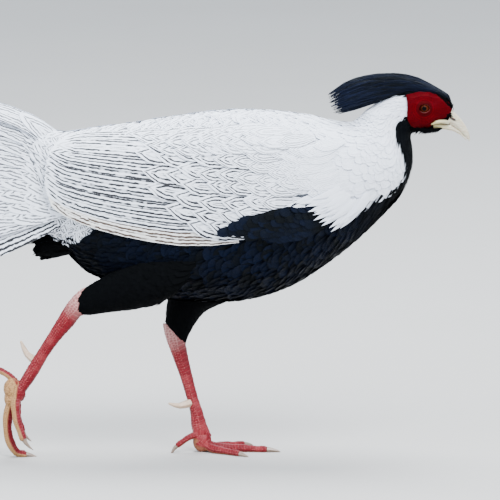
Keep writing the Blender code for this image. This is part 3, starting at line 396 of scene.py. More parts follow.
def vanes(name, shafts, facing, half, stations, plume, bake, finish, ring=SMALL_RING, thick=0.35,
          camber=0.10, tilt=0.0, replaced=(), patch=0.003):
    """Joins a closed blade for each row of shafts (feather, station, xyz in millimetres) into one piece.
    plume holds each feather's own number, its lines and their strength, and bake its place on the unwrap."""
    count, steps = shafts.shape[:2]
    sides = len(ring)
    along = unit(np.gradient(shafts, axis=1))
    facing = unit(facing - along * (facing * along).sum(-1, keepdims=True))
    across = np.cross(along, facing)
    u = np.array([r[0] for r in ring], float)
    h = np.array([r[1] for r in ring], float)
    half = np.broadcast_to(half, (count, steps))[..., None]
    taper = (1 - 0.6 * np.asarray(stations))[None, :, None]
    lift = h * thick * taper - camber * half * u ** 2 + tilt * half * u
    points = shafts[:, :, None] + across[:, :, None] * (half * u)[..., None]
    points = points + facing[:, :, None] * lift[..., None]
    first = np.arange(count * steps).reshape(count, steps)[:, :-1, None] * sides
    m = np.arange(sides)
    a, b = first + m, first + (m + 1) % sides
    walls = np.stack([a, b, b + sides, a + sides], -1).reshape(-1, 4)
    start = np.arange(count)[:, None] * steps * sides
    ends = np.concatenate([start + m[::-1], start + (steps - 1) * sides + m])
    sample = points[0].reshape(-1, 3)
    if volume_inside(sample, walls[: (steps - 1) * sides]) < 0:
        walls, ends = walls[:, ::-1], ends[:, ::-1]
    corners = np.concatenate([walls.ravel(), ends.ravel()])
    sizes = np.concatenate([np.full(len(walls), 4), np.full(len(ends), sides)])
    starts = np.concatenate([[0], np.cumsum(sizes)[:-1]])
    mesh = bpy.data.meshes.new(name)
    mesh.vertices.add(count * steps * sides)
    mesh.vertices.foreach_set("co", (points * MM).astype(np.float32).ravel())
    mesh.loops.add(len(corners))
    mesh.loops.foreach_set("vertex_index", corners.astype(np.int32))
    mesh.polygons.add(len(sizes))
    mesh.polygons.foreach_set("loop_start", starts.astype(np.int32))
    mesh.update(calc_edges=True)
    shape = (count, steps, sides)
    wide = np.broadcast_to((u + 1) / 2, shape)
    far = np.broadcast_to(np.asarray(stations)[None, :, None], shape)
    vane_map = np.stack([wide, far], -1).reshape(-1, 2)
    bake_map = (bake[:, None, None, :] + np.stack([wide - 0.5, far - 0.5], -1) * patch).reshape(-1, 2)
    for title, values in (("vane", vane_map), ("OFBake", bake_map)):
        layer = mesh.uv_layers.new(name=title)
        layer.uv.foreach_set("vector", values[corners].astype(np.float32).ravel())
    length = np.linalg.norm(np.diff(shafts, axis=1), axis=2).sum(1, keepdims=True) * MM
    numbers = np.repeat(np.hstack([plume, length]), steps * sides, axis=0)
    stored = mesh.attributes.new("plume", "FLOAT_COLOR", "POINT")
    stored.data.foreach_set("color", numbers.astype(np.float32).ravel())
    dress(name, mesh, finish, replaced)


def dress(name, mesh, finish, replaced=(), sharp=38):
    """Makes a finished piece of a mesh: its object, finish and place in the frame."""
    mesh.materials.append(finish)
    mesh.validate()
    mesh.shade_smooth()
    mesh.set_sharp_from_angle(angle=math.radians(sharp))
    piece = bpy.data.objects.new(name, mesh)
    bpy.context.collection.objects.link(piece)
    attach(piece, "root")
    if replaced:
        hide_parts(*replaced)
    print(name, "triangles:", len(mesh.loops) - 2 * len(mesh.polygons))

# %% [markdown]
# ## Where the bird is white and where it is black
#
# Above a ragged line from the cheek down the side of the neck to the wing, the male is white. Its throat,
# breast, belly and vent are black. The line is a short list of points in side view, the same on both
# sides. Skin and coat ask it the same question, so their markings agree.

# %% The line between white and black
WHITE_AREA = np.array([
    (30, 236), (96, 221), (112, 214), (131, 214), (142, 226), (153, 241), (262, 240), (280, 243),
    (297, 249), (315, 255), (336, 259), (352, 258), (356, 250), (362, 243), (371, 236), (380, 240),
    (392, 245), (406, 251), (416, 257), (427, 265), (438, 273), (445.5, 282), (450, 290), (450, 298),
    (448, 306), (445, 315), (443, 321), (441, 327), (440, 332), (443, 336), (448, 340), (453, 346),
    (453, 354), (449, 360), (441, 361.5), (431, 360.5), (421, 358), (412, 420), (30, 420),
])


def is_white(x, z):
    """True where a side-view point in millimetres is in the white area."""
    inside = np.zeros(np.shape(x), bool)
    for (ax, az), (bx, bz) in zip(WHITE_AREA, np.roll(WHITE_AREA, -1, axis=0)):
        crosses = (az > z) != (bz > z)
        inside ^= crosses & (x < (bx - ax) * (z - az) / (bz - az + 1e-9) + ax)
    return inside


def from_line(x, z):
    """Distance in millimetres to the line between white and black."""
    spot = np.stack([x, z], -1)
    best = np.full(np.shape(x), 1e9)
    for a, b in zip(WHITE_AREA[:-3], WHITE_AREA[1:-2]):
        t = np.clip(((spot - a) @ (b - a)) / ((b - a) @ (b - a)), 0, 1)
        best = np.minimum(best, np.linalg.norm(spot - a - t[..., None] * (b - a), axis=-1))
    return best


print("mantle white:", bool(is_white(300.0, 330.0)), "breast white:", bool(is_white(420.0, 240.0)))

# %% [markdown]
# ## The skin
#
# Body, neck, head and thighs are one skin on the real bird. Copies of their solids are swollen by half a
# millimetre, so that they meet, then joined and remeshed into one surface, smoothed, and pulled in by the
# depth of the coat. It only shows between feathers, so it takes their colours and a matt finish.

# %% Copy solids into one smooth surface
def melted(name, nodes, voxel, rounds, swell=0.5, lumps=()):
    """One smooth mesh over copies of the named solids, in millimetres. lumps are balls to join to them, each
    with its centre and half sizes."""
    bpy.ops.object.select_all(action="DESELECT")
    for node in nodes:
        copy = bpy.data.objects.new(f"{name}_{node}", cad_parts[node].data.copy())
        copy.data.materials.clear()
        bpy.context.collection.objects.link(copy)
        copy.select_set(True)
        bpy.context.view_layer.objects.active = copy
    first = bpy.context.view_layer.objects.active
    for number, (centre, half_sizes) in enumerate(lumps):
        ball = bmesh.new()
        bmesh.ops.create_icosphere(ball, subdivisions=4, radius=1.0)
        bmesh.ops.scale(ball, vec=[size * MM for size in half_sizes], verts=ball.verts)
        bmesh.ops.translate(ball, vec=[place * MM for place in centre], verts=ball.verts)
        lump = bpy.data.objects.new(f"{name}_lump_{number}", bpy.data.meshes.new(f"{name}_lump_{number}"))
        ball.to_mesh(lump.data)
        ball.free()
        bpy.context.collection.objects.link(lump)
        lump.select_set(True)
    bpy.context.view_layer.objects.active = first
    if len(nodes) + len(lumps) > 1:
        bpy.ops.object.join()
    piece = bpy.context.view_layer.objects.active
    bpy.ops.object.mode_set(mode="EDIT")
    bpy.ops.mesh.select_all(action="SELECT")
    bpy.ops.mesh.remove_doubles(threshold=0.00001)
    bpy.ops.mesh.normals_make_consistent(inside=False)
    bpy.ops.transform.shrink_fatten(value=swell * MM)
    bpy.ops.object.mode_set(mode="OBJECT")
    remesh = piece.modifiers.new("remesh", "REMESH")
    remesh.mode = "VOXEL"
    remesh.voxel_size = voxel * MM
    bpy.ops.object.modifier_apply(modifier="remesh")
    if rounds:
        smooth = piece.modifiers.new("smooth", "SMOOTH")
        smooth.iterations = rounds
        smooth.factor = 0.5
        bpy.ops.object.modifier_apply(modifier="smooth")
    return piece


def new_ball(segments, rings, **placing):
    """A ball that is active and has its place and size in its mesh."""
    bpy.ops.object.select_all(action="DESELECT")
    bpy.ops.mesh.primitive_uv_sphere_add(segments=segments, ring_count=rings, **placing)
    bpy.ops.object.transform_apply(location=True, rotation=True, scale=True)
    return bpy.context.view_layer.objects.active


def points_of(mesh):
    """Points and unit normals of a mesh, in millimetres."""
    points = np.empty(len(mesh.vertices) * 3, np.float32)
    mesh.vertices.foreach_get("co", points)
    normals = np.empty(len(mesh.vertices) * 3, np.float32)
    mesh.vertices.foreach_get("normal", normals)
    return points.reshape(-1, 3) / MM, normals.reshape(-1, 3)


def put_points(mesh, points):
    mesh.vertices.foreach_set("co", (points * MM).astype(np.float32).ravel())
    mesh.update()


def number_on(mesh, name, values):
    """Stores a number for each point, which a finish reads by its name."""
    mesh.attributes.new(name, "FLOAT", "POINT").data.foreach_set("value", values.astype(np.float32))


def finish_piece(piece, name, finish, replaced=(), sharp=60):
    """Turns a modelled object into a finished piece."""
    mesh = piece.data
    mesh.name = name
    bpy.data.objects.remove(piece)
    dress(name, mesh, finish, replaced, sharp)


# %% Finish and make the skin
skin_finish = Finish("skin_under_coat", Roughness=0.9, Specular_IOR_Level=0.05)
dark = skin_finish.attribute("dark", "Fac")
grain = skin_finish.speckle(240, 3.0)
pale = skin_finish.mix(grain, (0.62, 0.63, 0.65), (0.78, 0.79, 0.80))
deep = skin_finish.mix(grain, (0.003, 0.004, 0.006), (0.008, 0.010, 0.016))
skin_finish.feed("Base Color", skin_finish.mix(dark, pale, deep))
skin_finish.bump(grain, 0.4, 0.0006)

FLESH = ["torso", "neck", "head", "thigh_left", "thigh_right"]
skin = melted("skin", FLESH, 3.0, 6)
places, outward = points_of(skin.data)
deep_coat = np.interp(places[:, 0], [60, 380, 420, 445, 470], [6.0, 6.0, 4.0, 2.6, 1.6])
deep_coat = np.where(places[:, 2] < 170, 3.0, deep_coat)
put_points(skin.data, places - outward * (deep_coat[:, None] + 0.5))
number_on(skin.data, "dark", 1.0 - is_white(places[:, 0], places[:, 2]))
finish_piece(skin, "skin", skin_finish.material, FLESH)

# %% [markdown]
# ## The coat, combed from head to rump
#
# Feathers grow in lines that run from the bill to the tail. Each line of the comb keeps one angle round
# the body, and feathers are set along it at even steps of length, every other line half a step on, like
# tiles. A feather's root is sunk by the coat's depth and its tip lies at the surface of the solids. The
# size grows from a few millimetres at the brow to thirty and more on back and flank.

# %% Comb one form
STRAY_STEPS, STRAY_DEGREES = 0.18, 2.0  # how far a feather may stand off the even pattern


def comb(rows, first, last, lines, size_at, step=0.27, power=BODY_POWER):
    """Places, angles and lengths of feathers on a form, between two places along its rows. step is the share
    of a feather's length from one to the next."""
    grid = np.linspace(first, last, 500)
    found = []
    for k in range(lines):
        angle = 360 * (k + 0.5) / lines
        track = coat_point(rows, grid, np.full(500, angle), 0, power)
        size = size_at(grid)
        steps = np.linalg.norm(np.diff(track, axis=0), axis=1) / (size[1:] * step)
        gone = np.concatenate([[0], np.cumsum(steps)])
        marks = np.arange(0.5 * (k % 2), gone[-1], 1.0)
        marks = marks + chance.uniform(-STRAY_STEPS, STRAY_STEPS, len(marks))
        turn = angle + chance.uniform(-STRAY_DEGREES, STRAY_DEGREES, len(marks))
        found.append(np.stack([np.interp(marks, gone, grid), turn, np.interp(marks, gone, size)], 1))
    return np.concatenate(found)


def coat_shafts(rows, combed, stations, depth, toward=-1, raised=0.0, power=BODY_POWER, sway=3.0):
    """Shafts, facing and unwrap places of combed feathers. toward is the sign of the way to their tips."""
    place, angle, size = combed.T
    size = size * chance.uniform(0.88, 1.12, len(size))
    gap = np.linalg.norm(coat_point(rows, place + toward * 0.25, angle, 0, power)
                         - coat_point(rows, place, angle, 0, power), axis=1) * 4
    t = np.asarray(stations)
    reach = (size / np.maximum(gap, 4))[:, None] * t
    turn = chance.normal(0, sway, len(size))[:, None] * t
    depth = np.interp(place, *depth)
    inset = depth[:, None] * (1 - t) ** 0.9 - (raised + chance.uniform(0, 0.25, len(size)))[:, None] * t
    where, round_it = place[:, None] + toward * reach, angle[:, None] + turn
    points = coat_point(rows, where, round_it, inset, power)
    facing = coat_normal(rows, where, round_it, power)
    unwrap = np.stack([0.03 + 0.94 * place / (len(rows) - 1), 0.03 + 0.94 * (angle % 360) / 360], 1)
    return points, facing, unwrap, size


# %% Sizes and places of the body's feathers
def body_size(place):
    """Feather length in millimetres along the body's rows, from rump to brow."""
    return np.interp(place, [0, 4, 7, 9, 11, 12.5, 14, 16, 20], [34, 34, 31, 26, 20, 15, 11, 8, 6])


BODY_STATIONS = [0, 0.3, 0.55, 0.75, 0.9, 0.98, 1]
combed = comb(BODY_ROWS, 19.0, 0.6, 64, body_size)
print("combed feathers:", len(combed))

# %% Choose which feathers show, and their colour
def under_wing(points):
    """True for feathers that the folded wings hide."""
    x, y, z = np.moveaxis(points, -1, 0)
    low = np.interp(x, [100, 135, 200, 250, 280, 300, 345, 352], [262, 250, 240, 244, 258, 272, 300, 330])
    high = np.interp(x, [100, 200, 300, 352], [304, 312, 312, 300])
    return (x > 104) & (x < 345) & (z > low) & (z < high) & (np.abs(y) > 30)


from_back = 180 - np.abs(combed[:, 1] - 180)
over_wings = np.interp(from_back, [4, 22, 46, 60], [0.2, 1.3, 1.8, 0])
over_wings = over_wings * np.interp(combed[:, 0], [1, 3, 7, 8.5], [0, 1, 1, 0])
points, facing, unwrap, size = coat_shafts(
    BODY_ROWS, combed, BODY_STATIONS, ([0, 9, 12, 15, 20], [5.0, 5.0, 3.4, 2.2, 1.4]), raised=over_wings
)
mid, end = points[:, points.shape[1] // 2], points[:, -1]
asked = np.where(((end[:, 0] > 430) & (end[:, 2] > 334))[:, None], end, points[:, 2])
white = is_white(asked[:, 0], asked[:, 2])
hidden = under_wing(points[:, 0]) & under_wing(end)
bare_face = (end[:, 0] > 452) & (end[:, 2] > 329) & (np.abs(end[:, 1]) > 5)
brow = (points[:, 0, 0] > 462) & (points[:, 0, 2] > 352)
shown = ~(hidden | bare_face | brow)
near_line = from_line(end[:, 0], end[:, 2]) < 15
print("white:", (white & shown).sum(), "black:", (~white & shown).sum(), "hidden:", hidden.sum())


# %% [markdown]
# White feathers that end near the line are narrow and pointed, and lie a little above the black ones, so
# that the line is ragged as on the bird. Dark lines are fine and faint on neck and mantle and grow bolder
# to the rump.

# %% Build the white coat
def half_widths(size, share, stations, shape):
    return size[:, None] * share * shape(stations)[None, :]


def pointed(t):
    t = np.asarray(t, float)
    past = np.clip((t - 0.3) / 0.7, 0, 1)
    return (0.55 + 0.45 * np.clip(t / 0.3, 0, 1)) * np.maximum(1 - past ** 1.5, 0.03)


def plume_of(size, lines, strength):
    own = chance.uniform(0, 1, len(size))
    return np.stack([own, np.broadcast_to(lines, len(size)), np.broadcast_to(strength, len(size))], 1)


NECK_FROM = 330  # millimetres along x, where the coat is split into two pieces
SPIKES_FROM = 270  # where the ragged edge of the white begins
x_mid, z_mid = mid[:, 0], mid[:, 2]
line_strength = np.interp(x_mid, [60, 160, 260, 340, 400], [0.9, 0.85, 0.65, 0.35, 0.08])
round_half = half_widths(size, 0.29, BODY_STATIONS, tip_shape)
soft_half = half_widths(size, 0.27, BODY_STATIONS, tip_shape)
narrow_half = half_widths(size, 0.15, BODY_STATIONS, pointed)
on_neck = x_mid + chance.normal(0, 14, len(x_mid)) > 315
half = np.where(on_neck[:, None], soft_half, round_half)
ragged = near_line & (x_mid > SPIKES_FROM)
half = np.where((ragged & ((x_mid < 392) | (z_mid > 296)))[:, None], narrow_half, half)
line_strength = np.where((x_mid < 150) & (z_mid < 252), 1.0, line_strength)
raise_white = np.where(ragged, 0.9, 0.0)[:, None, None] * np.asarray(BODY_STATIONS)[None, :, None]
for name, zone in (("white_neck", x_mid > NECK_FROM), ("white_back", x_mid <= NECK_FROM)):
    pick = white & shown & zone
    vanes(f"feathers_{name}", (points + facing * raise_white)[pick], facing[pick], half[pick], BODY_STATIONS,
          plume_of(size[pick], 3.2, line_strength[pick]), unwrap[pick], white_feather,
          thick=0.14 if name == "white_neck" else 0.22, camber=0.05)

# %% Build the black coat
# The share of painted blue sheen on each black feather: most on mid-body and high on the flank, less low on
# the belly and at the throat.
painted_sheen = np.interp(x_mid, [110, 200, 300, 395, 432], [0.25, 0.8, 1.0, 0.8, 0.05])
painted_sheen = painted_sheen * np.interp(z_mid, [150, 175, 230], [0.4, 0.8, 1.0])
soft_half = half_widths(size, 0.30, BODY_STATIONS, tip_shape)
soft_half = np.where((near_line & (x_mid > 425))[:, None], narrow_half, soft_half)
for name, zone in (("breast", x_mid > NECK_FROM), ("flanks", x_mid <= NECK_FROM)):
    pick = ~white & shown & zone
    vanes(f"feathers_{name}", points[pick], facing[pick], soft_half[pick], BODY_STATIONS,
          plume_of(size[pick], 3.0, painted_sheen[pick]), unwrap[pick], black_feather, tilt=0.05)

# %% [markdown]
# ## Thighs
#
# Short velvety black feathers cover both thighs down to the hock. They are combed down each thigh in the
# same way.

# %% Build the thighs' feathers
THIGH_STATIONS = [0, 0.35, 0.65, 0.88, 1]
for side, rows in (("left", LEFT_THIGH_ROWS), ("right", RIGHT_THIGH_ROWS)):
    on_thigh = comb(rows, -0.45, 4.2, 40, lambda place: np.interp(place, [0, 2, 4, 5], [19, 14, 9, 7]),
                    step=0.3, power=2.0)
    leg_points, leg_facing, leg_unwrap, leg_size = coat_shafts(
        rows, on_thigh, THIGH_STATIONS, ([-0.5, 0, 3, 5], [6.0, 2.6, 2.0, 1.2]), toward=1, power=2.0, sway=5.0
    )
    leg_half = half_widths(leg_size, 0.24, THIGH_STATIONS, tip_shape)
    vanes(f"feathers_thigh_{side}", leg_points, leg_facing, leg_half, THIGH_STATIONS,
          plume_of(leg_size, 3.0, 0.4), leg_unwrap, thigh_feather)

# %% [markdown]
# ## The folded wings
#
# A folded wing is a stack of tiers. The long flight feathers lie lowest and reach furthest back. Rows of
# coverts lie over their roots, each row's pointed tips showing as scallops. Scapulars cover the upper
# edge, an apron of black flank feathers covers the lower front edge, and a fringe of white spikes hangs
# from the shoulder over the apron. Every vane here runs from a root to a tip in side view and is laid on
# the flank at its tier's height. Its lower edge stands out over the next vane. The large vanes of wings
# and tail have a strip each in the bake map.

# %% Lay points on the flank
def flank_point(x, z, lift):
    """The left flank's point over a side-view spot in millimetres, raised by lift, and its outward direction.
    The lift fades near the back, where the wing is tucked under the mantle."""
    def out_at(x, z):
        low, high = np.zeros(np.shape(x)), np.full(np.shape(x), len(FLANK_ROWS) - 1.0)
        for _ in range(24):
            half_way = (low + high) / 2
            row = row_at(FLANK_ROWS, half_way)
            ahead = (x - row[..., 0]) * (row[..., 1] - row[..., 3])
            ahead = ahead - (z - row[..., 1]) * (row[..., 0] - row[..., 2])
            low, high = np.where(ahead > 0, half_way, low), np.where(ahead > 0, high, half_way)
        row = row_at(FLANK_ROWS, (low + high) / 2)
        back, belly = row[..., 0:2], row[..., 2:4]
        height = np.linalg.norm(back - belly, axis=-1) / 2
        level = ((np.stack([x, z], -1) - (back + belly) / 2) * (back - belly)).sum(-1) / (2 * height ** 2)
        return row[..., 4] * (1 - np.minimum(np.abs(level), 0.97) ** BODY_POWER) ** (1 / BODY_POWER), level

    y, level = out_at(x, z)
    slope_x = (out_at(x + 2, z)[0] - out_at(x - 2, z)[0]) / 4
    slope_z = (out_at(x, z + 2)[0] - out_at(x, z - 2)[0]) / 4
    out = unit(np.stack([-slope_x, np.ones_like(y), -slope_z], -1))
    tucked = lift * np.interp(level, [0.72, 0.93], [1, 0.1]) - np.interp(level, [0.78, 0.95], [0, 3.0])
    return np.stack([x, y, z], -1) + out * tucked[..., None], out


def along_list(points, share):
    return row_at(np.asarray(points, float), np.asarray(share, float) * (len(points) - 1))


# %% Tiers of the wing
FLIGHT_ROOTS = [(262, 318), (284, 227)]  # of the highest and the lowest flight feather
FLIGHT_FEATHERS = 15
FLIGHT_TIPS = [(108, 322), (98, 312), (93, 302), (91, 287), (92, 274), (97, 260)]
COVERT_TIPS = [
    [(200, 325), (184, 316), (181, 306), (189, 291), (198, 273), (216, 254), (238, 238)],
    [(240, 327), (222, 317), (219, 303), (226, 285), (243, 265), (266, 248)],
    [(278, 326), (259, 315), (256, 301), (266, 281), (290, 262)],
    [(308, 319), (293, 308), (294, 292), (314, 275)],
    [(334, 314), (324, 304), (326, 292), (338, 280)],
    [(356, 314), (347, 303), (348, 290), (355, 279), (364, 270)],
]
SCAPULAR_ROWS = [(308, 205, 300), (314, 190, 306), (319, 180, 300), (324, 165, 290)]  # height, rear, front
FRINGE_TIPS = [(331, 258), (343, 261), (351, 255), (355, 250), (362, 243), (366, 239), (374, 235), (384, 240)]
APRON_EDGE = [(262, 233), (275, 241), (290, 245), (305, 250), (325, 256), (345, 260), (357, 259)]
WING_STATIONS = [0, 0.14, 0.3, 0.45, 0.6, 0.72, 0.82, 0.9, 0.955, 0.99, 1]


def lancet(t):
    """Half width along a pointed covert, as a share."""
    t = np.asarray(t, float)
    past = np.clip((t - 0.66) / 0.34, 0, 1)
    return (0.45 + 0.55 * np.clip(t / 0.35, 0, 1)) * np.maximum(1 - past ** 1.4, 0.02)


def leaning(tip, length, lean):
    """The root of a vane, from its tip, its length and its lean above the level in degrees."""
    return tip + length * np.array([math.cos(math.radians(lean)), math.sin(math.radians(lean))])


def flight_rows():
    """Root, tip, sag, half width, lifts of root and tip, lines and their strength, of each flight feather."""
    (high_x, high_z), (low_x, low_z) = FLIGHT_ROOTS
    found = []
    for q in np.linspace(0, 1, FLIGHT_FEATHERS):
        root = (high_x + (low_x - high_x) * q, high_z + (low_z - high_z) * q)
        found.append((*root, *along_list(FLIGHT_TIPS, q), -4 + 14 * q, 9.6, 0.4, 1.6 - 0.3 * q, 2.5, 1.0))
    return found


def covert_rows():
    """The same for the coverts, whose tiers lie halfway between and on the lists of tips."""
    tiers = []
    for a, b in zip(COVERT_TIPS, COVERT_TIPS[1:]):
        tiers += [(a, a), (a, b)]
    tiers.append((COVERT_TIPS[-1], COVERT_TIPS[-1]))
    found = []
    for k, (a, b) in enumerate(tiers):
        many = 7 if k < 5 else 6 if k < 8 else 9
        for i in range(many):
            q = min(max((i + 0.5 * (k % 2) - 0.25) / (many - 1), 0), 1)
            tip = (along_list(a, q) + along_list(b, q)) / 2 + chance.normal(0, 1.6, 2)
            root = leaning(tip, 58 - 2.6 * k, np.interp(q, [0, 1], [2 + 0.8 * k, -14 + 2.4 * k]))
            lift = 3.4 + 0.16 * min(k, 12 - 2 * k)
            strength = np.interp(k, [0, 4, 6, 8, 10], [1.0, 1.0, 0.8, 0.6, 0.35])
            found.append((*root, *tip, 1.5, 10.2 - 0.35 * k, lift - 3.2, lift, 2.5 + 0.13 * k, strength))
    return found


def scapular_rows():
    """The same for the feathers of the shoulder, which lie over the upper edge of the folded wing."""
    found = []
    for k, (height, first, last) in enumerate(SCAPULAR_ROWS):
        for x in np.arange(first, last, 15) + 7 * (k % 2):
            tip = np.array([x, height + (x - 120) * 0.035]) + chance.normal(0, 1.2, 2)
            strength = np.interp(x, [120, 220, 300], [1.0, 0.9, 0.45])
            found.append((*leaning(tip, 40, 5), *tip, 1.0, 7.5, 1.0, 4.4 + 0.3 * k, 2.2, strength))
    return found


def apron_rows():
    """The same for the black flank feathers that lie over the wing's lower front edge. Their last number is
    the share of painted blue sheen.
    """
    found = []
    for k in range(5):
        for share in np.linspace(0.05 + 0.14 * min(k, 4), 0.86, 14) + 0.03 * (k % 2):
            tip = along_list(APRON_EDGE, share) - np.array([0, 3 + 6.5 * k]) + chance.normal(0, 1.5, 2)
            root_lift = np.interp(share, [0.5, 0.8], [2.2, 0.4])
            found.append((*leaning(tip, 27, 10 + 3 * k), *tip, 0.5, 5.0, root_lift, 5.4 - 0.5 * k, 3.0, 0.8))
    return found


def fringe_rows():
    """The same for the ragged white spikes of the shoulder, which hang over the black flank."""
    found = []
    for n in range(3):
        for share in np.linspace(0, 1, 15):
            back = 6 * n + chance.uniform(-1, 3)
            lean = np.interp(share, [0, 0.5, 1], [10, 24, 42]) + chance.normal(0, 3)
            tip = leaning(along_list(FRINGE_TIPS, share), back, lean) + chance.normal(0, 1.0, 2)
            lift = 6.6 - 0.3 * n - 3.0 * max(share - 0.5, 0)
            found.append((*leaning(tip, 30, lean + 3), *tip, 1.0, 4.2, 0.6, lift, 2.0, 0.05))
    return found


flights, coverts, scapulars = np.array(flight_rows()), np.array(covert_rows()), np.array(scapular_rows())
apron, fringe = np.array(apron_rows()), np.array(fringe_rows())
print("flight feathers, coverts and scapulars in each wing:", len(flights), len(coverts), len(scapulars))


# %% Build both wings
LIFT_JITTER = 0.25  # millimetres


def side_view_vanes(specs, stations):
    """Shafts and facing of vanes given in side view on the left flank."""
    t = np.asarray(stations)[None, :]
    root, tip = specs[:, 0:2], specs[:, 2:4]
    way = tip - root
    down = unit(np.stack([way[:, 1], -way[:, 0]], 1))
    down = np.where(down[:, 1:2] > 0, -down, down)
    sag = specs[:, 4:5] * 4 * t * (1 - t)
    spot = root[:, None] + way[:, None] * t[..., None] + down[:, None] * sag[..., None]
    lift = specs[:, 6:7] + (specs[:, 7:8] - specs[:, 6:7]) * t
    lift = lift + chance.normal(0, LIFT_JITTER, (len(specs), 1)) * t
    return flank_point(spot[..., 0], spot[..., 1], lift)


def strips(count, columns=12):
    """A place for each large vane in the bake map, side by side, so that its lines stay apart in the bake."""
    rows = math.ceil(count / columns)
    i = np.arange(count)
    size = 1 / max(columns, rows)
    return np.stack([(i % columns + 0.5) * size, (i // columns + 0.5) * size], 1), size * 0.92


def both_wings(name, specs, shape, finish, replaced=""):
    """The same vanes on the left flank and, mirrored, on the right one."""
    points, facing = side_view_vanes(specs, WING_STATIONS)
    half = specs[:, 5:6] * shape(WING_STATIONS)[None, :]
    plume = plume_of(specs[:, 0], specs[:, 8], specs[:, 9])
    bake, patch = strips(len(specs))
    for side, sign in SIDES:
        flip = np.array([1, sign, 1])
        vanes(f"{name}_{side}", points * flip, facing * flip, half, WING_STATIONS, plume, bake, finish,
              ring=LARGE_RING, thick=0.4, camber=0.06, tilt=0.08 * sign,
              replaced=[f"{replaced}_{side}"] if replaced else (), patch=patch)


def rounded_vane(t):
    return tip_shape(t, 2.3, 0.68, 0.5)


def spiked(t):
    t = np.asarray(t, float)
    return (0.6 + 0.4 * np.clip(t / 0.3, 0, 1)) * np.maximum(1 - t ** 1.8, 0.02)


both_wings("flight_feathers", flights[:-2], rounded_vane, white_feather, "wing")
both_wings("lowest_flight_feathers", flights[-2:], rounded_vane, brown_lined_feather)
both_wings("wing_coverts", coverts, lancet, white_feather)
both_wings("scapulars", scapulars, lancet, white_feather)
both_wings("flank_apron", apron, rounded_vane, black_feather)
both_wings("shoulder_fringe", fringe, spiked, white_feather)

# %% [markdown]
# ## The tail
#
# Eight pairs of tail feathers form a steep roof that arches down behind the bird. The middle pair is the
# longest and nearly plain white, and each pair below it is shorter and has bolder black streaks along it.
# Tiers of long upper coverts hide their roots. A shaft's path bends from its rise at the root to its
# droop at the tip.

# %% Path of a tail feather
TAIL_ROOT_TOP, TAIL_ROOT_LOW = (112, 302), (120, 252)
TAIL_LENGTHS = [757, 640, 540, 450, 385, 330, 284, 244]
TAIL_RISE, TAIL_DROOP, TAIL_ARCH = 56, -46, 165
TAIL_FAN, TAIL_FAN_LENGTH = 80, 110
TAIL_TAPER = 0.35  # share of the spread that is lost by the tip of the longest feather
TAIL_REACH, TAIL_STEP = 800, 2.0  # of the path that is worked out, in millimetres
TAIL_SPREAD = [2.5, 8, 13.5, 18.5, 23, 27, 30, 32.5]
TAIL_ROLL = [48, 39, 32, 26, 21, 17.5, 14.5, 12.5]
TAIL_INNER = [3, 17, 18, 18, 18, 17, 16, 15]
TAIL_OUTER = [30, 23, 22, 21, 20, 19, 18, 17]


def over_pairs(values, fan):
    return np.interp(fan * (len(values) - 1), np.arange(len(values)), values)


def tail_shaft(fan, start, length, lift, stations):
    """Points along one shaft of the tail's left half, the way its face looks, and the way across its vane."""
    gone = np.arange(0, TAIL_REACH, TAIL_STEP)
    arch = TAIL_DROOP + (TAIL_RISE - TAIL_DROOP) * np.exp(-gone / TAIL_ARCH)
    angle = np.radians(arch - TAIL_FAN * fan * np.exp(-gone / TAIL_FAN_LENGTH))
    root_x, root_z = (top + (low - top) * fan for top, low in zip(TAIL_ROOT_TOP, TAIL_ROOT_LOW))
    x = root_x + np.concatenate([[0], np.cumsum(-np.cos(angle[:-1]) * TAIL_STEP)])
    z = root_z + np.concatenate([[0], np.cumsum(np.sin(angle[:-1]) * TAIL_STEP)])
    at = start + length * np.asarray(stations)
    ahead = np.minimum(at, 0)
    px, pz, turn = np.interp(at, gone, x), np.interp(at, gone, z), np.interp(at, gone, angle)
    px, pz = px - ahead * np.cos(turn), pz + ahead * np.sin(turn)
    roll = math.radians(over_pairs(TAIL_ROLL, fan))
    up = np.stack([np.sin(turn), 0 * turn, np.cos(turn)], 1)
    facing = up * math.sin(roll) + np.array([0, 1, 0]) * math.cos(roll)
    side = over_pairs(TAIL_SPREAD, fan) * (1 - TAIL_TAPER * np.maximum(at, 0) / TAIL_LENGTHS[0])
    points = np.stack([px, side, pz], 1) + facing * lift
    down = np.cross(unit(np.gradient(points, axis=0)), facing)
    return points, facing, unit(down)


# %% Build the tail feathers and their coverts
TAIL_STATIONS = [0, 0.06, 0.14, 0.24, 0.34, 0.44, 0.54, 0.64, 0.73, 0.81, 0.88, 0.935, 0.97, 0.992, 1]


def tail_set(rows, name, finish, replaced=()):
    """Both halves of a set of tail feathers. Each row is fan place, start, length, lift, inner and outer
    width, lines and their strength."""
    shafts, facing, half, plume = [], [], [], []
    for fan, start, length, lift, inner, outer, lines, strength in rows:
        points, faces, down = tail_shaft(fan, start, length, lift, TAIL_STATIONS)
        shape = tip_shape(TAIL_STATIONS, 2.2, 0.55, 0.45)
        points = points + down * ((outer - inner) / 2 * shape)[:, None]
        for flip in (1, -1):
            shafts.append(points * [1, flip, 1])
            facing.append(faces * [1, flip, 1])
            half.append((inner + outer) / 2 * shape)
            plume.append((chance.uniform(), lines, strength))
    bake, patch = strips(len(shafts), 10)
    shafts, facing, half, plume = (np.array(values) for values in (shafts, facing, half, plume))
    vanes(name, shafts, facing, half, TAIL_STATIONS, plume, bake, finish, ring=LARGE_RING,
          thick=0.6, camber=0.07, replaced=replaced, patch=patch)


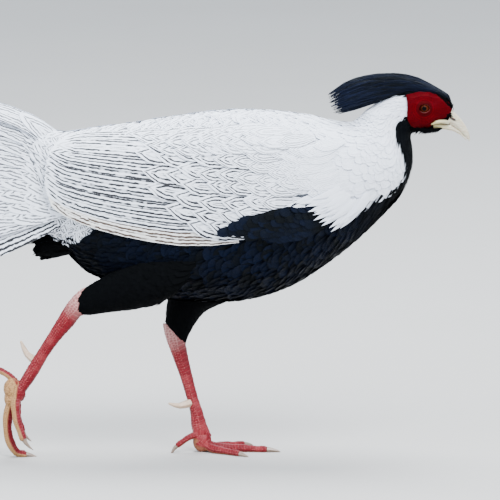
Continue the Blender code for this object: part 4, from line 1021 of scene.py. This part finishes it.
main_rows = []
for i, length in enumerate(TAIL_LENGTHS):
    strength = np.interp(i, [0, 1, 2, 4, 7], [0.15, 0.3, 0.6, 0.95, 1.0])
    main_rows.append((i / 7, 0, length, 0.0, TAIL_INNER[i], TAIL_OUTER[i], 4.4 - 0.15 * i, strength))
tail_set(main_rows, "tail_feathers", tail_feather, ["tail"])
tail_covert_rows = []
for tier, longest in enumerate([262, 224, 190, 160, 132, 107, 84, 64]):
    many = 9
    for i in range(many):
        fan = (i + 0.5 * (tier % 2)) / many * 0.95
        long = longest * (1 - 0.26 * fan) + chance.uniform(-5, 5)
        inner, outer = (3, 18) if i == 0 and tier % 2 == 0 else (10, 12)
        lift = 2.4 + 0.75 * tier + 0.3 * (many - i) / many
        tail_covert_rows.append((fan, 14 - 6 * tier, long, lift, inner, outer, 3.6, 0.95 - 0.02 * tier))
tail_set(tail_covert_rows, "tail_coverts", tail_feather)

# %% [markdown]
# ## Vent
#
# Loose black feathers run back from the vent under the root of the tail.

# %% Build the vent's feathers
VENT_STATIONS = [0, 0.25, 0.5, 0.7, 0.86, 0.96, 1]
many = 90
side = chance.uniform(-24, 24, many)
low = chance.uniform(0, 1, many)
rise = np.radians(np.interp(low, [0, 1], [16, -10]) + chance.uniform(-4, 4, many))
size = np.interp(low, [0, 1], [64, 38]) * chance.uniform(0.8, 1.05, many) * (1 - np.abs(side) / 80)
root_x = 124 - 8 * chance.uniform(0, 1, many)
root_z = np.interp(low, [0, 1], [222, 203]) + (np.abs(side) / 24) ** 2 * 3
t = np.asarray(VENT_STATIONS)[None, :]
shafts = np.stack([
    root_x[:, None] - np.cos(rise)[:, None] * size[:, None] * t,
    side[:, None] * (1 - 0.25 * t),
    root_z[:, None] + np.sin(rise)[:, None] * size[:, None] * t - 3 * t ** 2,
], -1)
upward = np.interp(low, [0, 0.5, 1], [1, 0.2, -1])
facing = unit(np.stack([0 * side, side / 30, upward], 1))[:, None] + 0 * shafts
unwrap = np.stack([0.1 + 0.8 * (side + 24) / 48, 0.1 + 0.8 * low], 1)
vanes("feathers_vent", shafts, facing, half_widths(size, 0.15, VENT_STATIONS, tip_shape), VENT_STATIONS,
      plume_of(size, 3.0, 0.15), unwrap, thigh_feather, thick=0.6,
      replaced=["vent_feathers"])

# %% [markdown]
# ## Crest
#
# The crest is long and hairlike. Thousands of narrow strands grow from brow and crown and are swept back.
# Each starts inside the outline that the solids give and ends near it, so that the tips fray. Those below
# hang out of it a little. The throat's short bristles are made in the same way.

# %% Outline of the crest
CREST_TOP = [
    (496, 353), (494, 361), (487, 366), (475, 373), (460, 380),
    (443, 383), (424, 383), (404, 379.5), (389, 374), (376, 365.5),
]
CREST_LOW = [
    (495, 350), (489, 357), (481, 362), (470, 364), (455, 364),
    (441, 361), (426, 357), (410, 353), (397, 348.5), (384, 344),
]
CREST_WIDTH = [3.5, 5, 7, 10, 12.5, 14, 14.5, 14, 12.5, 10]


def crest_point(along, angle, size):
    """A point in the crest: along it, round it from the top, and outwards to its outline."""
    last = len(CREST_TOP) - 1
    top, low = (row_at(np.array(line, float), along * last) for line in (CREST_TOP, CREST_LOW))
    wide = row_at(np.array(CREST_WIDTH, float)[:, None], along * last)[..., 0]
    middle, rise = (top + low) / 2, (top - low) / 2
    flat = middle + rise * (np.cos(np.radians(angle)) * size)[..., None]
    return np.stack([flat[..., 0], wide * size * np.sin(np.radians(angle)), flat[..., 1]], -1)


# %% Build the crest's strands
CREST_STATIONS = [0, 0.2, 0.42, 0.64, 0.84, 1]
many = 3600
start = chance.uniform(0.0, 1.0, many) ** 1.1 * 0.74
angle = chance.uniform(-180, 180, many)
reach = np.minimum(start + chance.uniform(0.20, 0.46, many), chance.uniform(0.89, 1.045, many))
t = np.asarray(CREST_STATIONS)[None, :]
at = start[:, None] + (reach - start)[:, None] * t
outer = chance.uniform(0.84, 1.03, many)[:, None]
outer = outer + np.where(np.abs(angle) > 130, chance.uniform(0, 0.2, many), 0)[:, None]
size_here = (0.60 + (outer - 0.60) * np.minimum(t * 2.2, 1)) * np.interp(at, [0, 0.85, 1.04], [1, 1, 0.9])
wave = chance.normal(0, 6, many)[:, None] * t
strand = crest_point(at, angle[:, None] + wave, size_here)
core = crest_point(at, 0 * at, 0 * at)
facing = unit((strand - core) * np.array([0.3, 1, 1]) + np.array([0, 0, 0.001]))
fray = (1 - 0.72 * t ** 2.0) * chance.uniform(0.6, 1.25, many)[:, None]
unwrap = np.stack([0.05 + 0.9 * start / 0.74, 0.05 + 0.9 * (angle + 180) / 360], 1)
# The crest's painted blue sheen is stronger, as painted highlights on the crest.
crest_feather = dark_feather("crest_feather", (0.0008, 0.0009, 0.0014), (0.0058, 0.0092, 0.0310), 0.34, 1.22)
vanes("crest_strands", strand, facing, 0.72 * fray, CREST_STATIONS, plume_of(start, 2.0, 0.7), unwrap,
      crest_feather, thick=0.7, camber=0.25, replaced=["crest"])

# %% Build the bristles of the chin
BRISTLE_STATIONS = [0, 0.4, 0.75, 1]
many = 420
share = chance.uniform(0, 1, many)
chin = along_list([(455, 336), (462, 330.5), (472, 328.8), (480, 328.5), (487, 329)], share)
side = chance.choice([-1, 1], many) * np.interp(share, [0, 1], [14, 7])
side = side * chance.uniform(0.1, 1.0, many) ** 0.5
size = chance.uniform(5, 10, many) * np.interp(share, [0, 1], [1.1, 0.7])
t = np.asarray(BRISTLE_STATIONS)[None, :]
shafts = np.stack([
    chin[:, :1] - size[:, None] * 0.75 * t,
    side[:, None] * (1 + 0.06 * t),
    chin[:, 1:] - size[:, None] * (0.55 + chance.uniform(-0.15, 0.2, many)[:, None]) * t,
], -1)
facing = unit(np.stack([-0.2 + 0 * side, side / 10, -0.6 + 0 * side], 1))[:, None] + 0 * shafts
unwrap = np.stack([0.05 + 0.9 * share, 0.5 + side / 40], 1)
vanes("chin_bristles", shafts, facing, 0.75 * (1 - 0.7 * t) * np.ones((many, 1)), BRISTLE_STATIONS,
      plume_of(size, 2.0, 0.2), unwrap, thigh_feather, thick=0.5)

# %% [markdown]
# ## The red face
#
# Bare skin swells round the eye in velvety lobes. It starts from a smooth copy of its solid, which
# already has the lobes. Hundreds of small warts are then raised on it. The top of each wart and the
# raised rings round the eye are painted a lighter red as painted highlight, and the creases between them
# a darker red as painted shade.
# Between face and bill lies a black lump of flesh with bristles, and black velvet covers the forehead
# down to the bill.

# %% Finish of the red skin
EYE = (468.5, 350.0)
red_finish = Finish("red_wattle", Roughness=0.7, IOR=1.1)
wart_and_painted_light = red_finish.attribute("wart_and_painted_light", "Fac")
tone = red_finish.speckle(160, 3.0)
# Painted light: the tops of the warts and the rings round the eye take the lighter red as painted highlight,
# the creases between them the darker red as painted shade.
red = red_finish.mix(wart_and_painted_light, (0.030, 0.0, 0.0008), (0.095, 0.0, 0.0028))
red_finish.feed("Base Color", red_finish.mix(tone.step(0.4, 0.75) * 0.5, red, (0.060, 0.0, 0.0016)))
red_finish.bump(red_finish.speckle(1400, 2.0), 0.5, 0.0003)


# %% Raise the warts
def cell_rise(flat, pitch, seed, jitter=0.5):
    """A dome in each cell of a jittered grid, 1 at its middle and 0 at its border."""
    spots = np.random.default_rng(seed)
    low = flat.min(0) - pitch
    across, up = np.ceil((flat.max(0) + pitch - low) / pitch).astype(int)
    shift = spots.uniform(0.5 - jitter, 0.5 + jitter, (across + 2, up + 2, 2))
    cell = np.floor((flat - low) / pitch).astype(int)
    nearest = np.full((2, len(flat)), 9.0)
    for i in (-1, 0, 1):
        for j in (-1, 0, 1):
            other = np.clip(cell + [i, j], 0, [across + 1, up + 1])
            gap = np.linalg.norm((flat - low) / pitch - other - shift[other[:, 0], other[:, 1]], axis=1)
            nearest = np.sort(np.vstack([nearest, gap]), axis=0)[:2]
    return np.clip((nearest[1] - nearest[0]) / 0.45, 0, 1)


brow_roots, brow_facing, lores_roots, lores_facing = [], [], [], []
for side in ("left", "right"):
    face = melted(f"face_{side}", [f"face_{side}"], 0.45, 4, 0.0)
    places, outward = points_of(face.data)
    from_eye = np.hypot(places[:, 0] - EYE[0], places[:, 2] - EYE[1])
    wart_and_painted_light = cell_rise(places[:, [0, 2]], 0.95, 5)
    outer_side = np.clip(np.abs(outward[:, 1]) * 2.5 - 0.4, 0, 1)
    around = np.exp(-((from_eye - 9.0) / 0.45) ** 2) + 0.4 * np.exp(-((from_eye - 11.2) / 0.4) ** 2)
    around *= 0.6 + 0.4 * wart_and_painted_light
    rise = wart_and_painted_light * 0.30 * np.clip((from_eye - 7.0) / 2, 0, 1) + around * 0.16
    put_points(face.data, places + outward * (rise * outer_side)[:, None])
    # The share of painted highlight on the tops of the warts, away from the eye, and on the rings round it.
    painted_wart_light = wart_and_painted_light * np.clip((from_eye - 6.5) / 3, 0, 1) * 0.7 + around * 0.8
    number_on(face.data, "wart_and_painted_light", np.clip(painted_wart_light, 0, 1.3))
    finish_piece(face, f"wattle_{side}", red_finish.material, [f"face_{side}"])
    over = (places[:, 0] - 482.5) * 0.744 + (places[:, 2] - 362.0) * 0.671
    rim = np.flatnonzero((over > 0) & (places[:, 0] > 476) & (places[:, 2] > 345.5))
    rim = chance.choice(rim, 420)
    brow_roots.append(places[rim])
    brow_facing.append(outward[rim])
    front = np.flatnonzero((places[:, 0] > 490) & (places[:, 2] > 338) & (places[:, 2] < 344.5))
    front = chance.choice(front, 90)
    lores_roots.append(places[front])
    lores_facing.append(outward[front])

# %% Fill the lores between face and bill
lores = new_ball(48, 24, radius=1, location=(0.4832, 0, 0.3347), scale=(0.0150, 0.0056, 0.0077))
lores_places, lores_outward = points_of(lores.data)
number_on(lores.data, "dark", np.ones(len(lores_places)))
finish_piece(lores, "lores", skin_finish.material)

# %% Build the velvet of the forehead and the bristles of the lores
BROW_STATIONS = [0, 0.4, 0.75, 1]
many = 300
share = chance.uniform(0, 1, many)
ridge = along_list([(498.5, 347), (496.5, 353), (491, 359), (484, 363.5)], share)
brow_roots.append(np.stack([ridge[:, 0], chance.uniform(-5, 5, many), ridge[:, 1]], 1))
brow_facing.append(np.tile([0.74, 0.0, 0.67], (many, 1)))
at_side, (lores_x, _, lores_z) = np.abs(lores_outward[:, 1]) > 0.6, lores_places.T
beside = np.flatnonzero(at_side & (lores_z > 336.8) & (lores_x > 478))
beside = chance.choice(beside, 260)
lores_roots.append(lores_places[beside])
lores_facing.append(lores_outward[beside])


def short_feathers(name, roots, outs, way, size, half):
    """Short black feathers that lie along a surface in one way."""
    way = np.asarray(way) + chance.normal(0, 0.12, (len(roots), 3))
    way = unit(way - outs * (way * outs).sum(1, keepdims=True) * 0.9)
    t = np.asarray(BROW_STATIONS)[None, :, None]
    length = chance.uniform(*size, len(roots))[:, None, None]
    shafts = roots[:, None] + outs[:, None] * (1.0 * t ** 0.7 - 0.4) + way[:, None] * length * t
    height = (roots[:, 2] - roots[:, 2].min()) / np.ptp(roots[:, 2])
    bake = np.stack([0.05 + 0.9 * height, 0.5 + roots[:, 1] / 45], 1)
    vanes(name, shafts, np.broadcast_to(outs[:, None], shafts.shape), half * (1 - 0.75 * t[..., 0] ** 2),
          BROW_STATIONS, plume_of(length[:, 0, 0], 2.0, 0.1), bake, thigh_feather, thick=0.5)


for name, roots, outs, way, size, half in (
        ("forehead_feathers", brow_roots, brow_facing, (-0.6, 0, 0.8), (3.0, 5.5), 0.75),
        ("lores_bristles", lores_roots, lores_facing, (0.85, 0, -0.35), (2.5, 4.5), 0.4)):
    short_feathers(name, np.concatenate(roots), np.concatenate(outs), way, size, half)

# %% [markdown]
# ## The eyes
#
# A wet ball with a black pupil in a red-brown iris sits in each face. Its rings of colour are measured
# from the line through the middle of both eyes, so that they stay on the ball from every side. Two lids
# of wrinkled skin close over its rim and leave an almond opening.

# %% Finish and make the eyeballs
eye_finish = Finish("wet_eye", Roughness=0.05, IOR=1.12)
spot = eye_finish.places()
ring = (((spot.part("X") - EYE[0] * MM) ** 2) + ((spot.part("Z") - EYE[1] * MM) ** 2)) ** 0.5 * 1000
fleck = eye_finish.speckle(900, 3.0, spot)
iris = eye_finish.mix((ring + fleck * 1.2).step(2.6, 5.0), (0.070, 0.013, 0.004), (0.034, 0.005, 0.002))
iris = eye_finish.mix(ring.step(2.2, 2.5), (0.001, 0.001, 0.001), iris)
eye_finish.feed("Base Color", eye_finish.mix(ring.step(5.2, 5.6), iris, (0.010, 0.002, 0.0015)))
EYE_OUT, EYE_RADIUS, CORNEA_RADIUS = 10.6, 6.2, 3.6  # millimetres; the first is the ball's middle from y = 0
for side, sign in SIDES:
    eye = new_ball(64, 32, radius=EYE_RADIUS * MM, rotation=(math.pi / 2, 0, 0),
                   location=(EYE[0] * MM, sign * EYE_OUT * MM, EYE[1] * MM))
    places, outward = points_of(eye.data)
    from_axis = np.hypot(places[:, 0] - EYE[0], places[:, 2] - EYE[1])
    cornea = np.clip(1 - (from_axis / CORNEA_RADIUS) ** 2, 0, 1) * 0.5 * (places[:, 1] * sign > EYE_OUT)
    put_points(eye.data, places + outward * cornea[:, None])
    finish_piece(eye, f"eyeball_{side}", eye_finish.material, [f"eye_{side}"], 180)

# %% Fold the lids round the eyes
lid_finish = mottled("eyelid", 700, (0.045, 0.002, 0.0015), (0.13, 0.008, 0.006),
                     Roughness=0.5, Specular_IOR_Level=0.25)
lid_finish.bump(lid_finish.speckle(1100, 3.0), 0.6, 0.0003)


LID_TURNS, LID_SIDES, LID_PUCKERS = 72, 14, 17


def lid_ring(sign, wide, tall, out, thick):
    """Points of a puckered ring of skin round an almond opening."""
    a = np.radians(np.arange(LID_TURNS) * 360 / LID_TURNS)
    x = EYE[0] + wide * np.cos(a)
    z = EYE[1] + tall * np.sin(a) * (1 - 0.12 * np.cos(a) ** 2)
    centre = np.stack([x, np.full(LID_TURNS, sign * out), z], 1)
    spoke = unit(centre - np.array([EYE[0], sign * out, EYE[1]]))
    b = np.radians(np.arange(LID_SIDES) * 360 / LID_SIDES)[None, :, None]
    body = thick * (1 + 0.10 * np.sin(a * LID_PUCKERS)[:, None, None])
    around = spoke[:, None] * body * np.cos(b)
    return centre[:, None] + around + np.array([0, sign, 0]) * body * 0.8 * np.sin(b)


def closed_ring(name, loops):
    """A mesh of a closed ring of loops of points."""
    turns, sides = loops.shape[:2]
    index = np.arange(turns * sides).reshape(turns, sides)
    after, beside = np.roll(index, -1, 0), np.roll(index, -1, 1)
    quads = np.stack([index, beside, np.roll(after, -1, 1), after], -1).reshape(-1, 4)
    mesh = bpy.data.meshes.new(name)
    flat = loops.reshape(-1, 3)
    spokes = flat[quads].mean(1) - loops.mean(1)[np.repeat(np.arange(turns), sides)]
    way = np.cross(flat[quads[:, 1]] - flat[quads[:, 0]], flat[quads[:, 2]] - flat[quads[:, 0]])
    if (way * spokes).sum() < 0:
        quads = quads[:, ::-1]
    mesh.from_pydata((flat * MM).tolist(), [], quads.tolist())
    return mesh


LIDS = [("lid", (6.3, 4.7, 15.0, 0.85), lid_finish), ("lid_rim", (7.9, 6.5, 14.5, 0.9), red_finish)]
for side, sign in SIDES:
    for part, sizes, finish in LIDS:
        name = f"{part}_{side}"
        dress(name, closed_ring(name, lid_ring(sign, *sizes)), finish.material, (), 180)

# %% [markdown]
# ## The bill
#
# The two halves of the bill are smoothed apart. The upper edge of the lower half is raised, so that only
# a fine line is left of the gape. A nostril is pressed into each side of the upper half, and its pit is
# painted near black as painted shade.

# %% Finish and smooth the bill
NOSTRIL = (497.0, 338.2)
bill_finish = Finish(
    "bill_horn", Roughness=0.36, Coat_Weight=0.25, Coat_Roughness=0.25, Subsurface_Weight=0.08
)
spot = bill_finish.places()
base_share = spot.part("X").step(0.500, 0.478)
streaks = bill_finish.node("ShaderNodeTexNoise", {
    "Vector": bill_finish.node("ShaderNodeMapping", {"Vector": spot, "Scale": (160, 900, 1100)}),
    "Scale": 1.0, "Detail": 3.0,
})
ivory = bill_finish.mix(streaks.step(0.3, 0.75), (0.40, 0.35, 0.24), (0.56, 0.53, 0.42))
ivory = bill_finish.mix(base_share * 0.8, ivory, (0.46, 0.37, 0.13))
pit_and_painted_shade = bill_finish.attribute("pit_and_painted_shade", "Fac")
# Painted shade: the nostril's pit is painted near black.
bill_finish.feed("Base Color", bill_finish.mix(pit_and_painted_shade, ivory, (0.035, 0.025, 0.018)))
bill_finish.bump(streaks, 0.25, 0.0002)
for part in ("upper", "lower"):
    half_bill = melted(f"bill_{part}_copy", [f"bill_{part}"], 0.4, 4, 0.12)
    places, outward = points_of(half_bill.data)
    pit_and_painted_shade = np.zeros(len(places))
    if part == "upper":
        away_x, away_z = places[:, 0] - NOSTRIL[0], places[:, 2] - NOSTRIL[1]
        slit = np.hypot((away_x * 0.87 - away_z * 0.5) / 4.4, (away_x * 0.5 + away_z * 0.87) / 1.4)
        pit_and_painted_shade = np.clip(1.15 - slit, 0, 1) * (np.abs(outward[:, 1]) > 0.3)
    else:
        middle = np.interp(places[:, 0], [478, 485, 494, 501.5, 507, 511],
                           [329.6, 328.6, 326.7, 323.6, 319.9, 316.5])
        share = np.clip((places[:, 2] - middle) / 1.5, -1, 1)
        places[:, 2] += np.interp(places[:, 0], [476, 484, 503, 511], [0.9, 1, 1, 0.3]) * (2.0 + 0.9 * share)
        closing = np.interp(places[:, 0], [477, 484.7, 493, 496.5, 499], [0.1, 1.4, 2.2, 1.0, 0])
        places[:, 2] += closing * np.clip(share, 0, 1)
    put_points(half_bill.data, places - outward * (pit_and_painted_shade * 0.8)[:, None])
    # The nostril's pit is painted dark as painted shade.
    number_on(half_bill.data, "pit_and_painted_shade", np.clip(pit_and_painted_shade * 2.2, 0, 1))
    finish_piece(half_bill, f"horn_bill_{part}", bill_finish.material, [f"bill_{part}"])

# %% [markdown]
# ## Legs
#
# Shank and toes are one skin of scales. Each point of the smooth copy is measured against the middle
# lines of the shank and of the toes: how far along it lies, and at what angle round. Broad shields cover
# the front of the shank and the top of the toes, and a net of small scales covers the rest. The raised
# foot shows its tan sole, with a fleshy palm of two balls that are joined to the copy. Near the feathers
# the shank is worn pale.

# %% Middle lines of shanks and toes
LEFT_SHANK_ROWS = [
    (207, 128, 229, 122, 5, 25), (209, 118, 229.5, 112, 6.6, 24), (212.5, 107, 231, 102, 5.6, 22.5),
    (217.5, 94, 233, 92, 4.7, 20.5), (225, 74, 237.5, 73, 4.2, 17), (231.5, 53, 242.5, 54, 4.2, 13.5),
    (235, 39, 247, 41, 5.0, 11), (236, 26, 251, 28, 6.4, 9.5), (239, 14, 256, 16, 7.2, 9),
]
RIGHT_SHANK_ROWS = [
    (131, 173, 136, 147, 4.5, -31.5), (124, 168.5, 126, 143.5, 6.6, -31), (114, 158, 119, 134.5, 5.6, -30.5),
    (106, 145.5, 109.5, 124, 4.8, -29.5), (96, 128.5, 102, 115, 4.2, -28.5), (84, 109, 93, 102, 4.2, -27),
    (74, 93, 84, 86, 4.8, -26), (66.5, 80, 75, 72.5, 5.6, -25), (61, 70, 66, 61, 6.2, -24.5),
]
LEFT_TOES = {
    "middle": [(249, 9, 9), (260, 9, 4.6), (277, 8, 3.7), (294, 6.5, 3.1), (311, 5, 2.6)],
    "inner": [(249, 6, 9), (256, 1, 4.6), (269, -9, 3.4), (284, -20, 2.4)],
    "outer": [(249, 12, 9), (256, 17, 4.6), (269, 27, 3.4), (288, 39.5, 2.4)],
    "hind": [(244, 7, 17), (236, 4.5, 16), (228, 2, 11.5), (222, 0.5, 7.2)],
}
RIGHT_TOES = {
    "middle": [(62, -24.5, 64), (57, -24, 55), (53, -24, 38), (54, -24, 20), (61, -23.5, 5.6),
               (70, -23, 2.5)],
    "inner": [(63, -21, 64), (62, -18, 55), (62.5, -14, 40), (67, -11, 24.5)],
    "outer": [(62, -28, 64), (61, -32, 54), (63, -36.5, 38), (69, -40, 21)],
    "hind": [(65, -24, 69), (58, -22.5, 79), (50, -21, 85), (42.5, -20, 88)],
}


def limb_lines(shank_rows, toes):
    """Middle line of the shank and each toe, with the way that its upper side faces."""
    rows = row_at(shank_rows, np.linspace(0, len(shank_rows) - 1, 60))
    middle = np.stack([(rows[:, 0] + rows[:, 2]) / 2, rows[:, 5], (rows[:, 1] + rows[:, 3]) / 2], 1)
    ahead = unit(np.gradient(middle, axis=0))
    found = [("shank", middle, np.stack([-ahead[:, 2], 0 * ahead[:, 0], ahead[:, 0]], 1))]
    for toe, path in toes.items():
        line = row_at(path, np.linspace(0, len(path) - 1, 40))
        ahead = unit(np.gradient(line, axis=0))
        turn = -1 if toe == "hind" else 1
        found.append((toe, line, turn * np.stack([-ahead[:, 2], 0 * ahead[:, 0], ahead[:, 0]], 1)))
    return found


def round_limb(points, line, upper):
    """For each point: distance to a middle line, how far along it is, and its angle from the upper side."""
    gone = np.concatenate([[0], np.cumsum(np.linalg.norm(np.diff(line, axis=0), axis=1))])
    nearest = np.argmin(((points[:, None] - line[None]) ** 2).sum(-1), axis=1)
    ahead = unit(np.gradient(line, axis=0))[nearest]
    away = points - line[nearest]
    along = (away * ahead).sum(1)
    away = away - ahead * along[:, None]
    forward = unit(np.gradient(line, axis=0))
    up = unit(upper - forward * (upper * forward).sum(1)[:, None])[nearest]
    beside = np.cross(ahead, up)
    theta = np.degrees(np.arctan2((away * beside).sum(1), (away * up).sum(1)))
    beyond = np.maximum(np.abs(along) - 1.5, 0)
    return np.hypot(np.linalg.norm(away, axis=1), beyond), gone[nearest] + along, theta


# %% Finish of the scaled legs
leg_finish = Finish("red_scales", Roughness=0.5, Specular_IOR_Level=0.2)
scute = leg_finish.attribute("scute", "Fac")
sole = leg_finish.attribute("sole", "Fac")
patchy = leg_finish.speckle(75, 3.0).step(0.50, 0.66)
fleck = leg_finish.speckle(600, 3.0)
plate = leg_finish.mix(fleck.step(0.35, 0.7), (0.105, 0.0004, 0.004), (0.175, 0.0015, 0.009))
plate = leg_finish.mix(patchy * 0.4, plate, (0.30, 0.040, 0.045))
leg_red = leg_finish.mix(scute.step(0.06, 0.36), (0.34, 0.080, 0.075), plate)
worn = leg_finish.attribute("worn", "Fac")
leg_red = leg_finish.mix(worn * (0.95 - scute * 0.62), leg_red, (0.62, 0.36, 0.33))
tan = leg_finish.mix(scute.step(0.1, 0.6), (0.21, 0.100, 0.036), (0.37, 0.20, 0.080))
leg_finish.feed("Base Color", leg_finish.mix(sole, leg_red, tan))
leg_finish.bump(fleck, 0.3, 0.0003)


# %% Raise the scales of both legs
def scales_at(limb, gone, theta, reach):
    """Rise from 0 to 1 of the scales at places along and round a limb."""
    front = 76 if limb == "shank" else 84
    pitch = 4.6 if limb == "shank" else 3.0
    column = np.where((theta > 0) & (limb == "shank"), 0.5, 0.0)
    bowed = gone + 1.1 * np.cos(np.radians(theta * 1.2)) * (1 if limb == "shank" else 0.5)
    share = (bowed / pitch + column) % 1
    edge = np.minimum(share, 1 - share) * pitch
    rim = np.radians(front - np.abs(theta)) * reach
    middle = np.radians(np.abs(theta)) * reach if limb == "shank" else 9.0
    shields = np.clip(np.minimum(np.minimum(edge, rim), middle) / 0.55, 0, 1) * (0.75 + 0.25 * share)
    size, radius = (2.5, 5.5) if limb == "shank" else (1.8, 3.5)
    small = cell_rise(np.stack([gone, np.radians(theta) * radius], 1), size, 3, 0.35) * 0.9
    return np.where(np.abs(theta) < front, shields, small)


RIGHT_PALM = [((57.5, -24, 69), (7.5, 8, 9.5)), ((56, -24, 59), (5.5, 6.5, 8))]
SCALE_HEIGHT, LEG_INSET, SOLE_SWELL, FLOOR_GAP = 0.42, 0.3, 1.1, 0.05  # millimetres
# Each side's lines, palm, the angle where the sole starts and how tan the sole is.
LEGS = [
    ("left", LEFT_SHANK_ROWS, LEFT_TOES, [], 125, 0.4),
    ("right", RIGHT_SHANK_ROWS, RIGHT_TOES, RIGHT_PALM, 84, 1.0),
]
for side, rows, toes, palm, first, full in LEGS:
    nodes = [f"shank_{side}", f"foot_{side}"]
    leg = melted(f"leg_{side}_copy", nodes, 0.55, 8, 0.25, palm)
    places, outward = points_of(leg.data)
    best = np.full(len(places), 1e9)
    rise, sole, worn = np.zeros((3, len(places)))
    for limb, line, upper in limb_lines(rows, toes):
        reach, gone, theta = round_limb(places, line, upper)
        nearer = reach < best
        best = np.where(nearer, reach, best)
        rise = np.where(nearer, scales_at(limb, gone, theta, reach), rise)
        under = 0 if limb == "shank" else np.clip((np.abs(theta) - first) / 14, 0, 1) * full
        sole = np.where(nearer, under, sole)
        worn = np.where(nearer, np.clip(1.1 - gone / 26, 0, 1) * (limb == "shank"), worn)
    for centre, half_sizes in palm:
        inside = np.linalg.norm((places - centre) / np.array(half_sizes), axis=1)
        sole = np.maximum(sole, np.clip((1.22 - inside) / 0.12, 0, 1) * np.clip(0.7 - outward[:, 0], 0, 1))
    pads = SOLE_SWELL * sole if palm else 0
    places = places + outward * (rise * SCALE_HEIGHT - LEG_INSET + pads)[:, None]
    places[:, 2] = np.maximum(places[:, 2], FLOOR_GAP)
    put_points(leg.data, places)
    number_on(leg.data, "scute", rise)
    number_on(leg.data, "sole", sole)
    number_on(leg.data, "worn", worn)
    finish_piece(leg, f"scaled_leg_{side}", leg_finish.material, nodes)

# %% Claws and spurs
claw_finish = mottled("claw_horn", 260, (0.10, 0.060, 0.042), (0.30, 0.22, 0.16),
                      Roughness=0.38, Coat_Weight=0.2)
spur_finish = mottled("spur_horn", 300, (0.40, 0.27, 0.18), (0.58, 0.43, 0.31),
                      Roughness=0.4, Coat_Weight=0.2)
for side, _ in SIDES:
    nodes = [f"claw_{side}_{toe}" for toe in ("middle", "inner", "outer", "hind")]
    claws = melted(f"claws_{side}_copy", nodes, 0.35, 3, 0.1)
    finish_piece(claws, f"claws_{side}", claw_finish.material, nodes)
    spur = melted(f"spur_{side}_copy", [f"spur_{side}"], 0.35, 4, 0.9)
    finish_piece(spur, f"horn_spur_{side}", spur_finish.material, [f"spur_{side}"])

# %% [markdown]
# ## The floor and the end of the lesson
#
# One large pale sheet lies under the feet. It is a backdrop and no part of the bird.

# %% Lay the floor
FLOOR_WIDTH = 30
floor_finish = mottled("pale_floor", 3, (0.40, 0.39, 0.375), (0.43, 0.42, 0.405),
                       Roughness=0.75, Specular_IOR_Level=0.2)
bpy.ops.object.select_all(action="DESELECT")
bpy.ops.mesh.primitive_plane_add(size=FLOOR_WIDTH, location=(0, 0, 0))
floor = bpy.context.view_layer.objects.active
floor.name = "floor"
floor.data.materials.append(floor_finish.material)
print("floor", [round(v, 1) for v in floor.dimensions])
